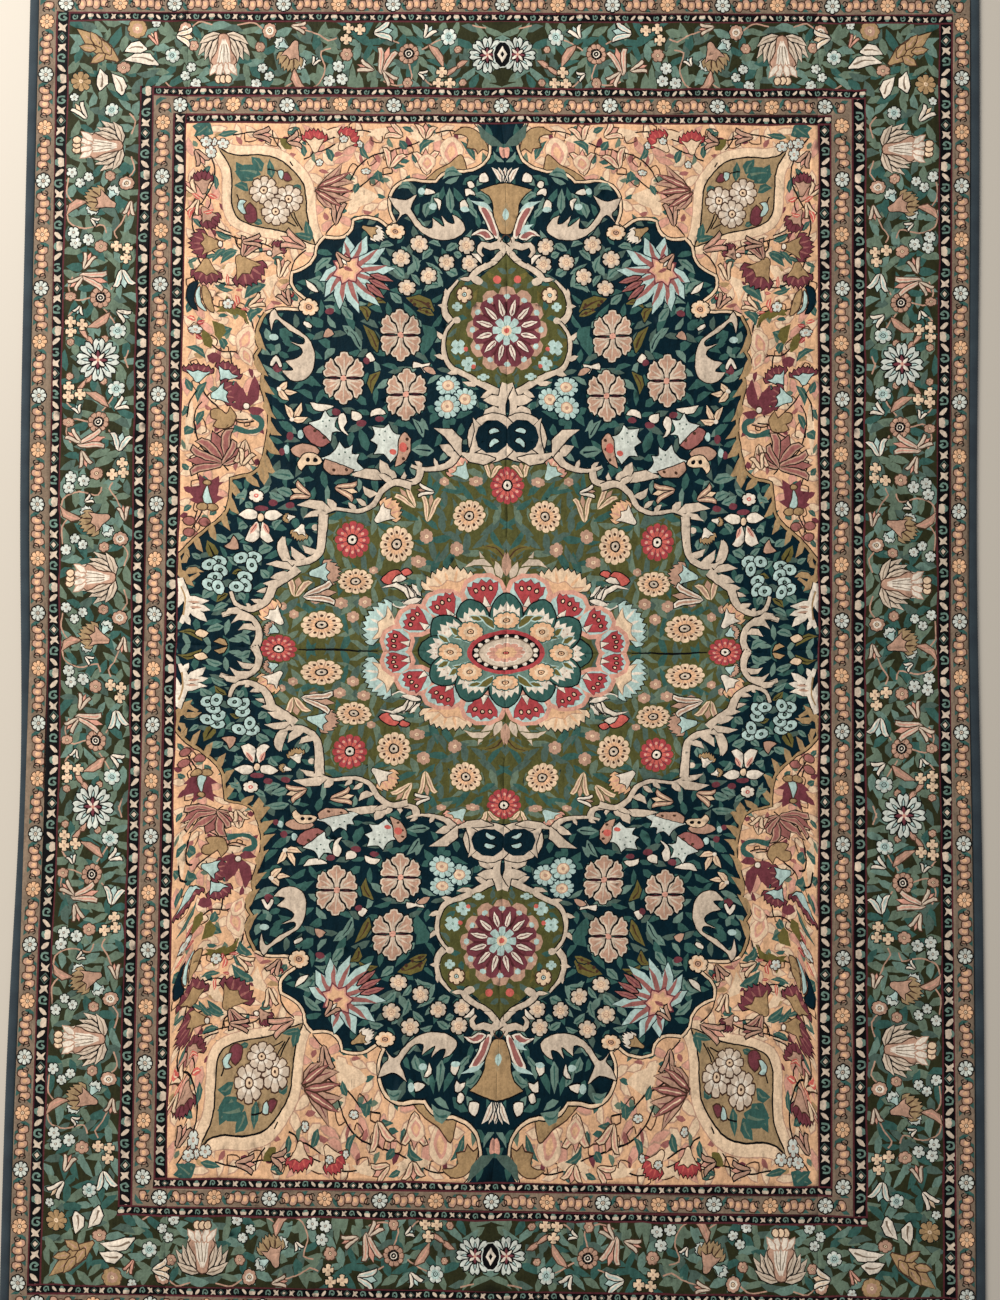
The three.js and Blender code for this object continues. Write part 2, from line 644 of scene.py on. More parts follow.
def inside(loop: np.ndarray, x: float, y: float) -> bool:
    """Say whether a point is inside a closed loop."""
    ax, ay = loop.T
    bx, by = np.roll(loop, -1, 0).T
    cross = (ay > y) != (by > y)
    at = ax + (y - ay) / np.where(by == ay, 1e-9, by - ay) * (bx - ax)
    return bool((cross & (x < at)).sum() % 2)


@dataclass
class Field:
    """The rug's inner field, drawn for one quarter and mirrored to the other three."""

    half_width: float = 561.5
    half_length: float = 927.0

    # key points of the medallion's edge in the far right quarter, from the neck to the side
    edge_neck = (
        (46, 930), (30, 908), (25, 884), (33, 863), (52, 849), (74, 843, 1), (92, 843), (112, 837),
        (124, 826, 1),
        (142, 826), (168, 829), (190, 820), (203, 800), (204, 775), (196, 755, 1), (205, 746), (225, 757),
        (250, 761),
        (268, 757, 1), (272, 741), (286, 728), (303, 725), (320, 727, 1),
    )
    edge_shoulder = (
        (320, 727, 1), (333, 712), (336, 696), (346, 680), (362, 669), (376, 662, 1), (377, 645),
        (366, 628),
        (349, 616, 1), (349, 604), (364, 598), (400, 598), (420, 590),
    )
    edge_flank = (
        (420, 590), (432, 565), (435, 542), (429, 526, 1), (437, 513), (433, 498), (424, 484, 1),
        (427, 465),
        (420, 440), (413, 415), (412, 390), (416, 360), (423, 330), (428, 318, 1), (443, 305), (463, 300),
        (476, 296, 1), (478, 262), (482, 240), (495, 222), (520, 200), (542, 178), (556, 160), (570, 140),
    )
    oval_edge = (
        (0, 338, 1), (40, 334), (75, 340), (100, 325), (150, 317), (152, 300), (180, 292), (212, 290),
        (222, 265),
        (245, 244), (290, 243), (315, 235), (318, 200), (325, 165), (348, 147), (372, 138), (385, 115),
        (405, 98),
        (420, 78), (445, 66), (428, 48), (421, 25), (425, 0, 1), (0, 0, 1),
    )
    cartouche_edge = (
        (0, 452, 1), (30, 468), (70, 487), (100, 498), (110, 525), (108, 556), (98, 580), (108, 604),
        (104, 626),
        (84, 650), (52, 655), (24, 680), (0, 702, 1),
    )

    # ways of the brown stems in the far right corner
    corner_stems = (
        ((545, 905), (520, 870), (512, 830), (530, 790), (548, 760), (540, 720), (515, 700), (490, 690)),
        ((505, 735), (470, 722), (440, 718), (410, 705), (390, 690)),
        ((540, 690), (520, 655), (490, 640), (460, 640), (430, 625)),
        ((545, 650), (530, 610), (500, 600), (470, 600), (448, 585), (440, 560)),
        ((550, 560), (520, 540), (495, 520), (470, 520), (452, 500)),
        ((548, 500), (535, 470), (520, 440), (500, 420), (478, 400), (455, 395), (438, 400)),
        ((540, 395), (528, 350), (500, 330), (480, 310)),
        ((545, 330), (530, 290), (520, 250), (535, 215), (548, 190)),
        ((60, 905), (95, 915), (130, 905), (165, 890), (200, 880), (235, 870), (260, 850), (275, 820)),
        ((215, 905), (250, 915), (290, 905), (330, 895), (360, 905), (400, 900), (440, 910), (480, 905)),
        ((200, 840), (230, 835), (255, 815), (290, 800), (310, 775)),
    )

    def quarters(self, pen: Pen, x: float = 1.0, y: float = 1.0) -> list[Pen]:
        """Give a pen for each quarter that a motif at x, y is mirrored to."""
        across = (1, -1) if x else (1,)
        along = (1, -1) if y else (1,)
        return [pen.at(0, 0, 0, sx, sy) for sy in along for sx in across]

    def spread(self, pen: Pen, placings: Iterable[Placing]) -> None:
        """Draw rows of flowers in every quarter."""
        for placing in placings:
            for row in placing.rows:
                for own in self.quarters(pen, row[0], row[1]):
                    placing.flower.draw(own, *row)

    def strew(self, pen: Pen, ground: LeafGround) -> None:
        """Draw a leaf ground in every quarter."""
        for foot, tip, broad, bend, dye in ground.rows():
            for own in self.quarters(pen):
                own.blade(dye, foot, tip, broad, bend)

    def blades(self, pen: Pen, dye: Dye, rows: Iterable[Row], vein: Dye | None = None,
            rim: Dye | None = None) -> None:
        """Draw rows of leaves in every quarter.

        Args:
            pen: The pen to draw with.
            dye: Their wool.
            rows: Foot x, foot y, tip x, tip y, breadth and bend of each.
            vein: The wool of their veins.
            rim: The wool of their outlines.
        """
        for x0, y0, x1, y1, broad, bend in rows:
            for own in self.quarters(pen):
                own.blade(dye, (x0, y0), (x1, y1), broad, bend, vein, rim)

    def blobs(self, pen: Pen, dye: Dye, rows: Iterable[Row], rim: Dye | None = None) -> None:
        """Draw rows of ovals (x, y, half width, half height) in every quarter."""
        for x, y, rx, ry in rows:
            for own in self.quarters(pen, x, y):
                own.blob(dye, x, y, rx, ry, rim)

    def shapes(self, pen: Pen, dye: Dye, shapes: Iterable[Sequence[Point]], rim: Dye | None = None) -> None:
        """Draw smooth closed shapes in every quarter."""
        for points in shapes:
            for own in self.quarters(pen):
                own.fill(dye, points, rim)

    def stems(self, pen: Pen, dye: Dye, width: float, ways: Iterable[Sequence[Point]]) -> None:
        """Draw thin strokes in every quarter."""
        for way in ways:
            for own in self.quarters(pen):
                own.line(dye, way, width)

    def draw(self, pen: Pen) -> None:
        """Draw the whole field, ground first."""
        self.corner(pen)
        self.medallion(pen)
        self.upper_flowers(pen)
        self.flank_flowers(pen)
        self.oval(pen)
        self.scrolls(pen)
        self.cartouche(pen)
        self.pendant(pen)
        self.centre(pen)

    def corner(self, pen: Pen) -> None:
        """Draw the peach corner with its drop and sprays."""
        w, l = self.half_width, self.half_length
        for own in self.quarters(pen):
            own.poly(Dye.PEACH, [(0, 0), (w, 0), (w, l), (0, l)])
        self.sprigs(pen)
        drop = (
            (337, 714, 1), (346, 736), (350, 762), (352, 792), (358, 820), (374, 842), (398, 861),
            (430, 868), (466, 868),
            (490, 873), (504, 882, 1), (490, 860), (482, 838), (480, 808), (479, 780), (469, 759),
            (448, 748),
            (424, 742), (390, 735), (360, 723),
        )
        for own in self.quarters(pen):
            loop = turned_left(smooth(own.place(drop), True))
            own.cartoon.patch(grown(loop, 19), Dye.TAN)
            own.cartoon.patch(grown(loop, 17.4), Dye.SHELL)
            own.fill(Dye.FAWN, drop, Dye.INK, 2.6)
        self.blades(pen, Dye.SHELL, (
            (385, 700, 420, 690, 20, 0.1), (470, 680, 490, 640, 18, 0.2), (400, 660, 415, 615, 20, 0.2),
            (225, 800, 280, 770, 34, 0.2), (250, 905, 320, 912, 22, 0), (110, 900, 170, 905, 20, 0),
            (195, 910, 245, 905, 16, 0.1), (525, 850, 550, 880, 24, 0.2), (350, 900, 400, 880, 18, 0.1),
            (430, 560, 440, 500, 18, 0.2), (545, 430, 552, 340, 14, 0),
        ))
        self.blades(pen, Dye.TEAL, (
            (412, 828, 416, 862, 15, 0), (430, 840, 448, 866, 20, 0.1), (445, 824, 475, 858, 26, -0.1),
            (432, 835, 478, 840, 26, 0.1), (452, 806, 478, 816, 16, 0.2), (345, 720, 352, 756, 16, 0),
            (340, 725, 372, 732, 14, 0),
            (360, 810, 374, 818, 14, 0), (428, 748, 444, 756, 12, 0), (514, 908, 552, 922, 26, 0.1),
            (520, 924, 548, 904, 18, 0),
            (508, 808, 514, 836, 10, 0.1), (520, 850, 540, 828, 12, 0), (546, 808, 554, 820, 8, 0),
            (534, 740, 548, 756, 11, 0.1),
            (480, 722, 508, 736, 11, -0.15), (472, 698, 500, 676, 14, 0.1), (492, 704, 514, 678, 12, 0.1),
            (505, 694, 530, 684, 9, 0),
            (538, 684, 556, 674, 8, 0), (470, 700, 500, 688, 8, 0.2), (478, 630, 512, 640, 9, -0.1),
            (422, 640, 458, 614, 22, 0.15),
            (425, 610, 458, 598, 16, 0.2), (366, 612, 376, 626, 12, 0), (388, 705, 400, 712, 10, 0),
            (390, 682, 412, 686, 12, 0.1),
            (360, 790, 372, 800, 8, 0), (306, 800, 318, 776, 16, 0.1), (292, 776, 300, 798, 12, 0),
            (258, 820, 266, 802, 13, 0.1),
            (214, 822, 240, 826, 18, 0.5), (222, 826, 226, 846, 13, 0), (240, 864, 248, 894, 12, -0.3),
            (178, 852, 212, 874, 12, -0.25),
            (174, 882, 186, 898, 15, 0), (158, 858, 164, 876, 12, 0.1), (124, 896, 150, 872, 14, 0.3),
            (122, 908, 132, 926, 12, 0),
            (54, 864, 78, 898, 13, 0.1), (306, 860, 318, 884, 14, 0.1), (355, 868, 362, 892, 12, 0.1),
            (160, 914, 180, 922, 11, 0),
            (362, 918, 376, 914, 9, 0), (370, 906, 384, 914, 10, 0), (545, 606, 556, 586, 14, 0.1),
            (425, 596, 450, 586, 12, 0),
            (430, 594, 446, 572, 18, 0.3), (478, 562, 492, 546, 16, 0.3), (490, 524, 500, 545, 15, 0.2),
            (522, 508, 556, 526, 13, 0.2),
            (545, 448, 556, 470, 14, 0), (520, 465, 536, 428, 14, 0.15), (524, 414, 534, 386, 13, 0.1),
            (540, 380, 556, 368, 18, 0.2),
            (552, 420, 560, 400, 10, 0), (548, 306, 558, 318, 12, 0), (500, 240, 512, 228, 12, 0),
            (542, 244, 556, 232, 10, 0.1),
            (548, 192, 558, 178, 10, 0), (468, 466, 484, 458, 10, 0), (505, 905, 470, 912, 12, 0),
        ), Dye.SAGE)
        self.shapes(pen, Dye.TEAL, (
            ((420, 398), (428, 410), (446, 412), (440, 403), (430, 398), (432, 388), (446, 384), (470, 390),
             (472, 382),
             (452, 376), (434, 378), (422, 386)),
        ))
        self.blades(pen, Dye.MOSS, (
            (448, 568, 500, 590, 12, 0.3), (470, 584, 505, 598, 14, 0.2), (498, 540, 512, 575, 22, 0.2),
            (512, 525, 528, 560, 18, 0),
            (488, 620, 505, 590, 16, -0.3), (378, 882, 398, 902, 18, 0), (432, 720, 446, 712, 14, 0),
        ))
        self.stems(pen, Dye.INK, 2.4, (
            ((480, 731), (500, 740), (512, 752)), ((474, 726), (470, 706), (450, 698), (420, 700)),
            ((522, 775), (518, 792), (534, 806)),
            ((530, 780), (545, 786)), ((480, 520), (478, 500)), ((458, 424), (462, 412)),
            ((528, 430), (538, 414), (538, 372)),
            ((536, 450), (548, 430), (552, 400)), ((300, 890), (325, 878), (342, 876)),
            ((340, 876), (345, 868), (356, 864)),
            ((380, 860), (375, 852)), ((410, 915), (408, 898), (396, 882)),
            ((475, 396), (490, 380), (505, 372)),
            ((532, 236), (538, 215), (536, 204)), ((448, 402), (470, 398), (482, 388), (488, 375)),
            ((366, 745), (378, 768), (380, 776)),
            ((370, 745), (392, 756), (400, 764)), ((358, 738), (366, 752), (372, 770)),
            ((468, 788), (472, 800)),
            ((392, 830), (404, 842), (420, 844)), ((352, 704), (366, 692), (376, 676), (378, 662)),
            ((300, 752), (312, 740), (318, 732)),
        ))
        carnations = Carnation(Dye.WINE, Dye.CAMEL, Dye.BROWN, Dye.ROSE)
        mauve = Carnation(Dye.WINE, Dye.TAN, Dye.BROWN, Dye.MAROON)
        red = Carnation(Dye.RED, Dye.SHELL, Dye.BROWN, Dye.CORAL)
        collar = Carnation(Dye.WINE, Dye.AQUA, Dye.INK, Dye.ROSE)
        self.spread(pen, (
            Placing(carnations, ((498, 712, 50, 57, -92), (523, 684, 52, 46, 182),
                (470, 690, 62, 60, 146))),
            Placing(mauve, ((531, 776, 36, 44, 148), (530, 802, 38, 42, -8), (412, 690, 26, 34, 40))),
            Placing(red, ((336, 876, 44, 42, 0), (292, 880, 40, 46, 38), (380, 640, 20, 26, 190))),
            Placing(collar, ((494, 466, 46, 38, 28), (535, 466, 50, 32, 2), (512, 440, 46, 46, 76))),
        ))
        self.spread(pen, (
            Placing(WHITE_TRIO, ((381, 793, 48, 48), (425, 807, 48, 48), (404, 769, 48, 48))),
            Placing(Lily(Dye.TAN, Dye.SALMON, Dye.INK), (
                (352, 708, 34, 46, -68), (300, 748, 26, 46, 8), (378, 604, 24, 30, -30),
                (545, 880, 26, 30, 150), (385, 895, 30, 26, 80), (445, 905, 26, 34, 88),
            )),
            Placing(Lily(Dye.TAN, Dye.ROSE, Dye.INK), (
                (486, 324, 62, 58, -22), (488, 322, 48, 62, -88), (490, 320, 40, 48, 48),
                (462, 690, 34, 36, 30), (462, 715, 22, 36, 84),
            )),
            Placing(Lily(Dye.SHELL, Dye.SALMON, Dye.BROWN), (
                (140, 838, 42, 44, 0), (205, 850, 40, 34, 20), (140, 900, 36, 26, 10),
                (180, 905, 34, 30, -60), (398, 652, 22, 36, 10),
                (545, 800, 26, 26, -40), (540, 790, 20, 30, -160), (452, 365, 30, 46, 184),
                (458, 320, 26, 30, 20), (450, 600, 24, 30, 60),
            )),
        ))
        self.blades(pen, Dye.TAN, (
            (330, 812, 272, 792, 16, 0.1), (330, 814, 266, 822, 17, -0.1), (326, 818, 288, 856, 15, 0.1),
            (332, 810, 302, 776, 13, 0.1),
        ), Dye.WINE, Dye.BROWN)
        self.blades(pen, Dye.ROSE, ((330, 814, 268, 806, 9, 0), (328, 816, 272, 840, 10, 0),
            (334, 808, 288, 780, 9, 0)), Dye.SHELL, Dye.BROWN)
        for x, y, wide, high, turn in ((95, 876, 46, 56, 10), (138, 858, 34, 30, 0), (455, 540, 36, 52, 20),
            (452, 512, 24, 36, -25)):
            for own in self.quarters(pen):
                one = own.at(x, y, turn, wide / 2, high / 2)
                one.fill(Dye.SHELL, ((0, -1, 1), (0.7, -0.3), (0.85, 0.35), (0, 1), (-0.85, 0.35),
                    (-0.7, -0.3)), Dye.TAN, 1.6)
                one.fill(Dye.SALMON, ((0, -0.72, 1), (0.52, -0.1), (0, 0.7), (-0.52, -0.1)))
                one.fill(Dye.PEACH, ((0, -0.42, 1), (0.32, 0), (0, 0.46), (-0.32, 0)))
        # camel scroll beside the neck and the wine flower above the trefoil
        self.shapes(pen, Dye.CAMEL, (
            ((30, 880), (36, 902), (52, 918), (72, 920), (88, 910, 1), (70, 908), (62, 900), (66, 886),
             (52, 884), (48, 876, 1), (38, 884)),
            ((78, 872), (70, 852), (66, 828, 1), (86, 839), (106, 841), (118, 818, 1), (128, 826),
             (148, 824, 1), (122, 844), (98, 856)),
        ), Dye.BROWN)
        self.shapes(pen, Dye.CAMEL, (
            ((476, 388), (470, 406), (480, 420, 1), (486, 408), (500, 418), (512, 414), (510, 402),
             (500, 398), (506, 388), (492, 384)),
        ), Dye.BROWN)
        self.blades(pen, Dye.WINE, (
            (448, 424, 440, 480, 22, 0.1), (450, 424, 472, 468, 26, -0.1), (450, 420, 420, 420, 16, 0.1),
            (452, 420, 482, 426, 14, 0),
            (500, 505, 520, 512, 22, 0), (496, 512, 514, 504, 20, 0),
            (512, 246, 488, 290, 20, -0.3), (510, 252, 496, 300, 22, -0.1), (518, 252, 530, 300, 22, 0.1),
            (522, 248, 552, 276, 26, 0.2),
            (514, 244, 488, 262, 16, -0.2), (520, 246, 546, 254, 16, 0.2), (540, 268, 556, 276, 12, 0),
        ))
        self.blobs(pen, Dye.IVORY, ((452, 425, 5, 5), (416, 696, 4, 4), (500, 712, 4, 5)), Dye.BROWN)
        self.shapes(pen, Dye.AQUA, (((508, 250), (514, 268), (516, 280), (522, 266), (520, 250)),),
            Dye.BROWN)
        self.blobs(pen, Dye.CAMEL, ((507, 243, 9, 6), (524, 243, 9, 6), (517, 286, 6, 4)), Dye.BROWN)
        self.blobs(pen, Dye.ROSE, ((520, 216, 9, 7), (546, 217, 10, 7), (545, 197, 9, 7)), Dye.BROWN)
        self.blades(pen, Dye.CORAL, (
            (545, 775, 552, 752, 10, 0.2), (538, 790, 552, 800, 9, 0.1), (522, 800, 506, 794, 10, 0.1),
            (487, 640, 488, 660, 7, 0),
            (540, 575, 556, 578, 9, 0.1), (540, 566, 544, 552, 8, 0), (468, 604, 474, 622, 9, 0.1),
            (530, 768, 512, 774, 8, 0.2),
        ), Dye.SHELL)
        self.blades(pen, Dye.RED, (
            (538, 570, 524, 574, 9, 0.1), (538, 550, 526, 540, 8, 0.1), (462, 630, 474, 630, 6, 0),
            (474, 596, 476, 612, 8, 0),
            (448, 595, 464, 596, 6, 0),
        ), Dye.SALMON)
        pearl = Rosette(5, Dye.PEARL, Dye.BROWN, None, None, None, None, Dye.TAN, 0.6, 0.3, 1.6)
        self.spread(pen, (
            Placing(pearl, (
                (497, 890, 20, 18), (512, 893, 9, 14), (526, 894, 20, 18), (518, 875, 18, 22),
                (540, 558, 24, 14),
                (485, 606, 18, 18), (256, 890, 10, 12), (284, 898, 14, 12), (246, 842, 16, 10),
                (328, 858, 12, 12),
            )),
        ))
        self.shapes(pen, Dye.NAVY, (((540, 642), (552, 636), (556, 620), (550, 600), (538, 592),
            (545, 612)),), Dye.INK)
        self.shapes(pen, Dye.AQUA, (((522, 592), (532, 606), (536, 634), (541, 618), (536, 600)),),
            Dye.BROWN)
        self.shapes(pen, Dye.CAMEL, (((510, 590), (514, 612), (522, 630), (530, 636), (528, 612),
            (520, 596)),), Dye.BROWN)
        self.shapes(pen, Dye.WINE, (((438, 756), (440, 774), (449, 784), (458, 770), (455, 754),
            (446, 750)),
                                    ((378, 828), (386, 840), (394, 836), (388, 826))), Dye.BROWN)
        self.shapes(pen, Dye.AQUA, (((456, 766), (462, 782), (456, 788), (466, 790), (470, 778),
            (464, 768)),
                                    ((394, 828), (392, 842), (400, 842), (399, 832))), Dye.BROWN)

    def sprigs(self, pen: Pen) -> None:
        """Draw the corner's net of brown stems with cream leaves and small buds, under its flowers."""
        whole = (
            (30, 925, 1), (30, 866, 1), (130, 840), (206, 810), (215, 765), (300, 740), (340, 695),
            (382, 650), (352, 604),
            (430, 575), (420, 440), (420, 330), (480, 290), (500, 215), (557, 158, 1), (559, 925, 1),
        )
        cream = LeafGround(whole, 31, 31, 13, (Dye.SHELL, Dye.SHELL, Dye.SALMON), (300, 600), 21)
        for foot, tip, broad, bend, dye in cream.rows():
            for own in self.quarters(pen):
                own.blade(dye, foot, tip, broad, bend, None, Dye.TAN)
        buds = LeafGround(whole, 37, 19, 9, (Dye.TEAL, Dye.SAGE, Dye.ROSE, Dye.CAMEL, Dye.WINE), (560, 500),
            22)
        for foot, tip, broad, bend, dye in buds.rows():
            for own in self.quarters(pen):
                own.blade(dye, foot, tip, broad, bend)
        self.stems(pen, Dye.INK, 2.6, self.corner_stems)
        swing = 0.34  # how far a curl leaves its stem, as a share of the stem's step
        for way in self.corner_stems:
            for (x0, y0), (x1, y1) in zip(way, way[1:]):
                turn = 1 if (x0 + y1) % 3 else -1
                dx, dy = swing * turn * (y1 - y0), -swing * turn * (x1 - x0)
                curl = ((x0, y0), (x0 + dx, y0 + dy), ((x0 + x1) / 2 + dx, (y0 + y1) / 2 + dy),
                    ((x0 + x1) / 2 + dx / 2, (y0 + y1) / 2))
                self.stems(pen, Dye.BROWN, 2.2, (curl,))

    def medallion(self, pen: Pen) -> None:
        """Draw the navy medallion, its camel outline and its ground of leaves."""
        edge = (*self.edge_neck, *self.edge_shoulder[1:], *self.edge_flank[1:])
        quarter = (*edge, (600, 0, 1), (0, 0, 1), (0, 940, 1))
        for own in self.quarters(pen):
            own.fill(Dye.NAVY, quarter)
        ground = LeafGround(quarter, 30, 30, 12, (Dye.TEAL, Dye.TEAL, Dye.SLATE, Dye.SEA), (150, 480), 7)
        self.strew(pen, ground)
        outlines = ((self.edge_neck, 4.2, Dye.SHELL), (self.edge_shoulder, 4.2, Dye.SHELL),
            (self.edge_flank, 4.6, Dye.CAMEL))
        for way, width, dye in outlines:
            self.stems(pen, Dye.INK, width + 3.8, (way,))
            self.stems(pen, dye, width, (way,))
        self.blades(pen, Dye.CAMEL, (
            (434, 562, 418, 522, 13, 0.15), (436, 516, 416, 478, 14, 0.15), (428, 480, 404, 446, 13, 0.15),
            (418, 442, 400, 404, 13, 0.18),
            (413, 404, 390, 374, 14, 0.2), (414, 376, 390, 340, 17, 0.2), (420, 346, 398, 306, 18, 0.2),
            (428, 322, 420, 288, 19, -0.1),
            (452, 305, 428, 284, 14, 0), (476, 292, 454, 260, 13, 0.12), (478, 266, 460, 234, 13, 0.15),
            (488, 236, 476, 204, 13, 0.1),
            (508, 214, 498, 184, 13, 0.1), (532, 192, 520, 162, 13, 0.1), (550, 172, 546, 144, 12, 0),
        ), Dye.FAWN)

    def upper_flowers(self, pen: Pen) -> None:
        """Draw the flowers on the navy ground above the oval."""
        self.blades(pen, Dye.SEA, (
            (78, 838, 112, 828, 18, 0.3), (96, 770, 100, 814, 16, 0), (50, 762, 72, 784, 12, 0.1),
            (118, 806, 128, 776, 14, 0.1),
            (134, 790, 142, 762, 16, 0.1), (146, 732, 172, 762, 18, 0.2), (164, 814, 190, 812, 14, 0.3),
            (28, 788, 60, 802, 14, 0.25),
            (88, 716, 108, 704, 14, 0), (116, 712, 138, 718, 10, 0.2), (130, 706, 150, 688, 14, 0.1),
            (80, 694, 94, 700, 14, 0),
            (88, 662, 110, 672, 18, 0), (114, 664, 144, 684, 9, 0), (158, 668, 168, 698, 12, 0.1),
            (154, 644, 170, 664, 11, 0.1),
            (180, 656, 206, 676, 14, 0.1), (116, 642, 148, 634, 14, 0.2), (184, 612, 206, 630, 15, 0),
            (200, 714, 226, 706, 12, 0.2),
            (176, 702, 186, 712, 9, 0), (308, 690, 338, 664, 15, 0.1), (320, 630, 350, 650, 20, 0.35),
            (280, 604, 320, 614, 18, 0.3),
            (270, 580, 290, 606, 16, 0), (300, 596, 318, 606, 14, 0), (270, 550, 288, 570, 14, 0.1),
        ), Dye.TEAL)
        self.blades(pen, Dye.MOSS, (
            (128, 598, 178, 622, 24, 0.1), (212, 612, 246, 602, 12, 0.25), (244, 580, 262, 604, 16, 0.3),
            (228, 526, 252, 572, 17, 0.1),
            (224, 492, 236, 452, 16, 0.2), (128, 590, 158, 600, 12, 0.1),
        ), Dye.BROWN, Dye.NAVY)
        self.blobs(pen, Dye.BROWN, ((139, 611, 3, 3), (152, 603, 3, 3), (162, 611, 3, 3), (140, 597, 3, 3),
            (168, 617, 3, 3)))
        self.blades(pen, Dye.SEA, ((256, 526, 280, 566, 14, 0.1), (146, 376, 166, 408, 14, 0.1),
            (128, 352, 168, 354, 22, 0)), Dye.NAVY)
        self.blades(pen, Dye.TEAL, (
            (134, 540, 148, 575, 26, 0.2), (130, 552, 148, 520, 24, 0.2), (192, 496, 222, 504, 10, 0.1),
            (246, 432, 268, 446, 14, 0.1),
            (112, 424, 136, 398, 16, 0.1), (92, 400, 102, 412, 14, 0), (40, 428, 50, 440, 12, 0),
            (176, 396, 200, 398, 14, 0.2),
            (244, 352, 256, 392, 18, 0), (178, 308, 200, 322, 14, 0.1), (304, 440, 330, 450, 14, 0.2),
            (325, 462, 370, 470, 13, 0.15),
            (310, 530, 330, 544, 16, 0.2), (322, 568, 340, 586, 18, 0), (336, 570, 352, 584, 12, 0),
            (374, 550, 396, 562, 13, 0.2),
            (372, 536, 392, 542, 12, 0), (380, 514, 400, 522, 12, 0), (404, 524, 420, 534, 12, 0.1),
            (372, 380, 396, 400, 16, 0.1),
        ))
        rows = (
            (70, 712, 29, 29), (66, 681, 29, 29), (107, 684, 28, 28), (154, 716, 32, 30),
            (187, 691, 32, 30), (138, 660, 29, 29),
            (176, 640, 31, 27),
        )
        self.spread(pen, (
            Placing(PINK_FLORET, rows),
            Placing(Snowflake(), ((187, 556, 70, 92), (177, 451, 69, 92), (286, 478, 70, 92))),
            Placing(AQUA_CLUSTER, ((105, 467, 43, 36), (75, 444, 42, 40), (105, 431, 45, 42))),
            Placing(Palmette(), ((280, 670, 84, 120),)),
            Placing(Rosette(7, Dye.SHELL, Dye.INK, Dye.PEACH, None, None, Dye.BROWN, Dye.TAN, 0.8),
                ((195, 738, 34, 26), (346, 603, 34, 30))),
            Placing(Carnation(Dye.IVORY, Dye.CAMEL, Dye.INK), ((252, 744, 28, 42, 118),)),
            Placing(Lily(Dye.TAN, Dye.IVORY, Dye.INK), ((300, 700, 22, 30, 140),)),
        ))
        swan = (
            ((73, 740), (80, 757), (94, 766, 1), (91, 751), (101, 752), (114, 766, 1), (109, 746),
             (120, 753), (130, 762, 1), (130, 744),
             (144, 745), (160, 764), (168, 778), (163, 790), (156, 803, 1), (176, 793), (205, 798, 1),
             (197, 782), (187, 770),
             (193, 756, 1), (178, 770), (160, 748), (142, 732), (118, 724), (90, 726)),
            ((405, 597), (398, 586), (372, 567), (346, 546), (337, 515), (342, 486), (360, 473), (378, 475),
             (392, 490, 1), (372, 492),
             (386, 507, 1), (366, 513), (356, 523), (362, 533), (378, 541, 1), (356, 537), (352, 545),
             (378, 562), (402, 580),
             (410, 560, 1), (412, 586)),
        )
        self.shapes(pen, Dye.BEIGE, swan, Dye.INK)
        ivory_bits = (
            ((56, 818), (60, 826), (68, 824), (64, 814)),
            ((54, 802), (62, 812), (72, 812), (70, 800), (64, 804)),
            ((66, 778), (72, 793), (80, 788), (76, 772)), ((114, 792), (126, 797), (120, 788), (117, 776)),
            ((124, 806), (140, 814), (142, 804)),
            ((30, 828), (36, 842), (46, 836), (46, 826)),
            ((136, 507), (150, 504), (164, 509), (166, 498), (152, 500), (146, 490)),
            ((233, 512), (240, 524), (248, 518), (240, 508)),
            ((212, 418), (222, 427), (236, 422), (238, 412), (226, 416)),
            ((252, 410), (258, 418), (270, 421, 1), (270, 408), (262, 404)),
            ((278, 402), (284, 416), (292, 412), (288, 386), (276, 378, 1), (284, 392)),
            ((340, 570), (352, 577), (354, 572), (342, 566)),
            ((336, 640), (352, 651, 1), (346, 636), (330, 630)),
            ((302, 428), (322, 430), (342, 434, 1), (332, 420), (316, 420)),
        )
        self.shapes(pen, Dye.IVORY, ivory_bits, Dye.INK)
        self.blobs(pen, Dye.AQUA, ((128, 782, 7, 6), (148, 809, 6, 6), (72, 776, 8, 5), (406, 548, 8, 6),
            (358, 378, 5, 8), (382, 350, 5, 8)))
        self.blobs(pen, Dye.WINE, ((247, 509, 6, 6), (222, 408, 8, 5), (253, 400, 9, 6), (297, 418, 8, 6),
            (400, 494, 8, 8), (376, 374, 6, 8),
                                   (390, 346, 5, 7), (310, 596, 8, 6)))
        self.shapes(pen, Dye.TAN, (((126, 488), (136, 500), (148, 498), (136, 488)),
            ((302, 556), (312, 566), (320, 550))), Dye.NAVY)
        self.shapes(pen, Dye.IVORY, (((392, 498), (402, 516), (412, 498), (408, 497), (402, 507),
            (396, 496)),), Dye.INK)
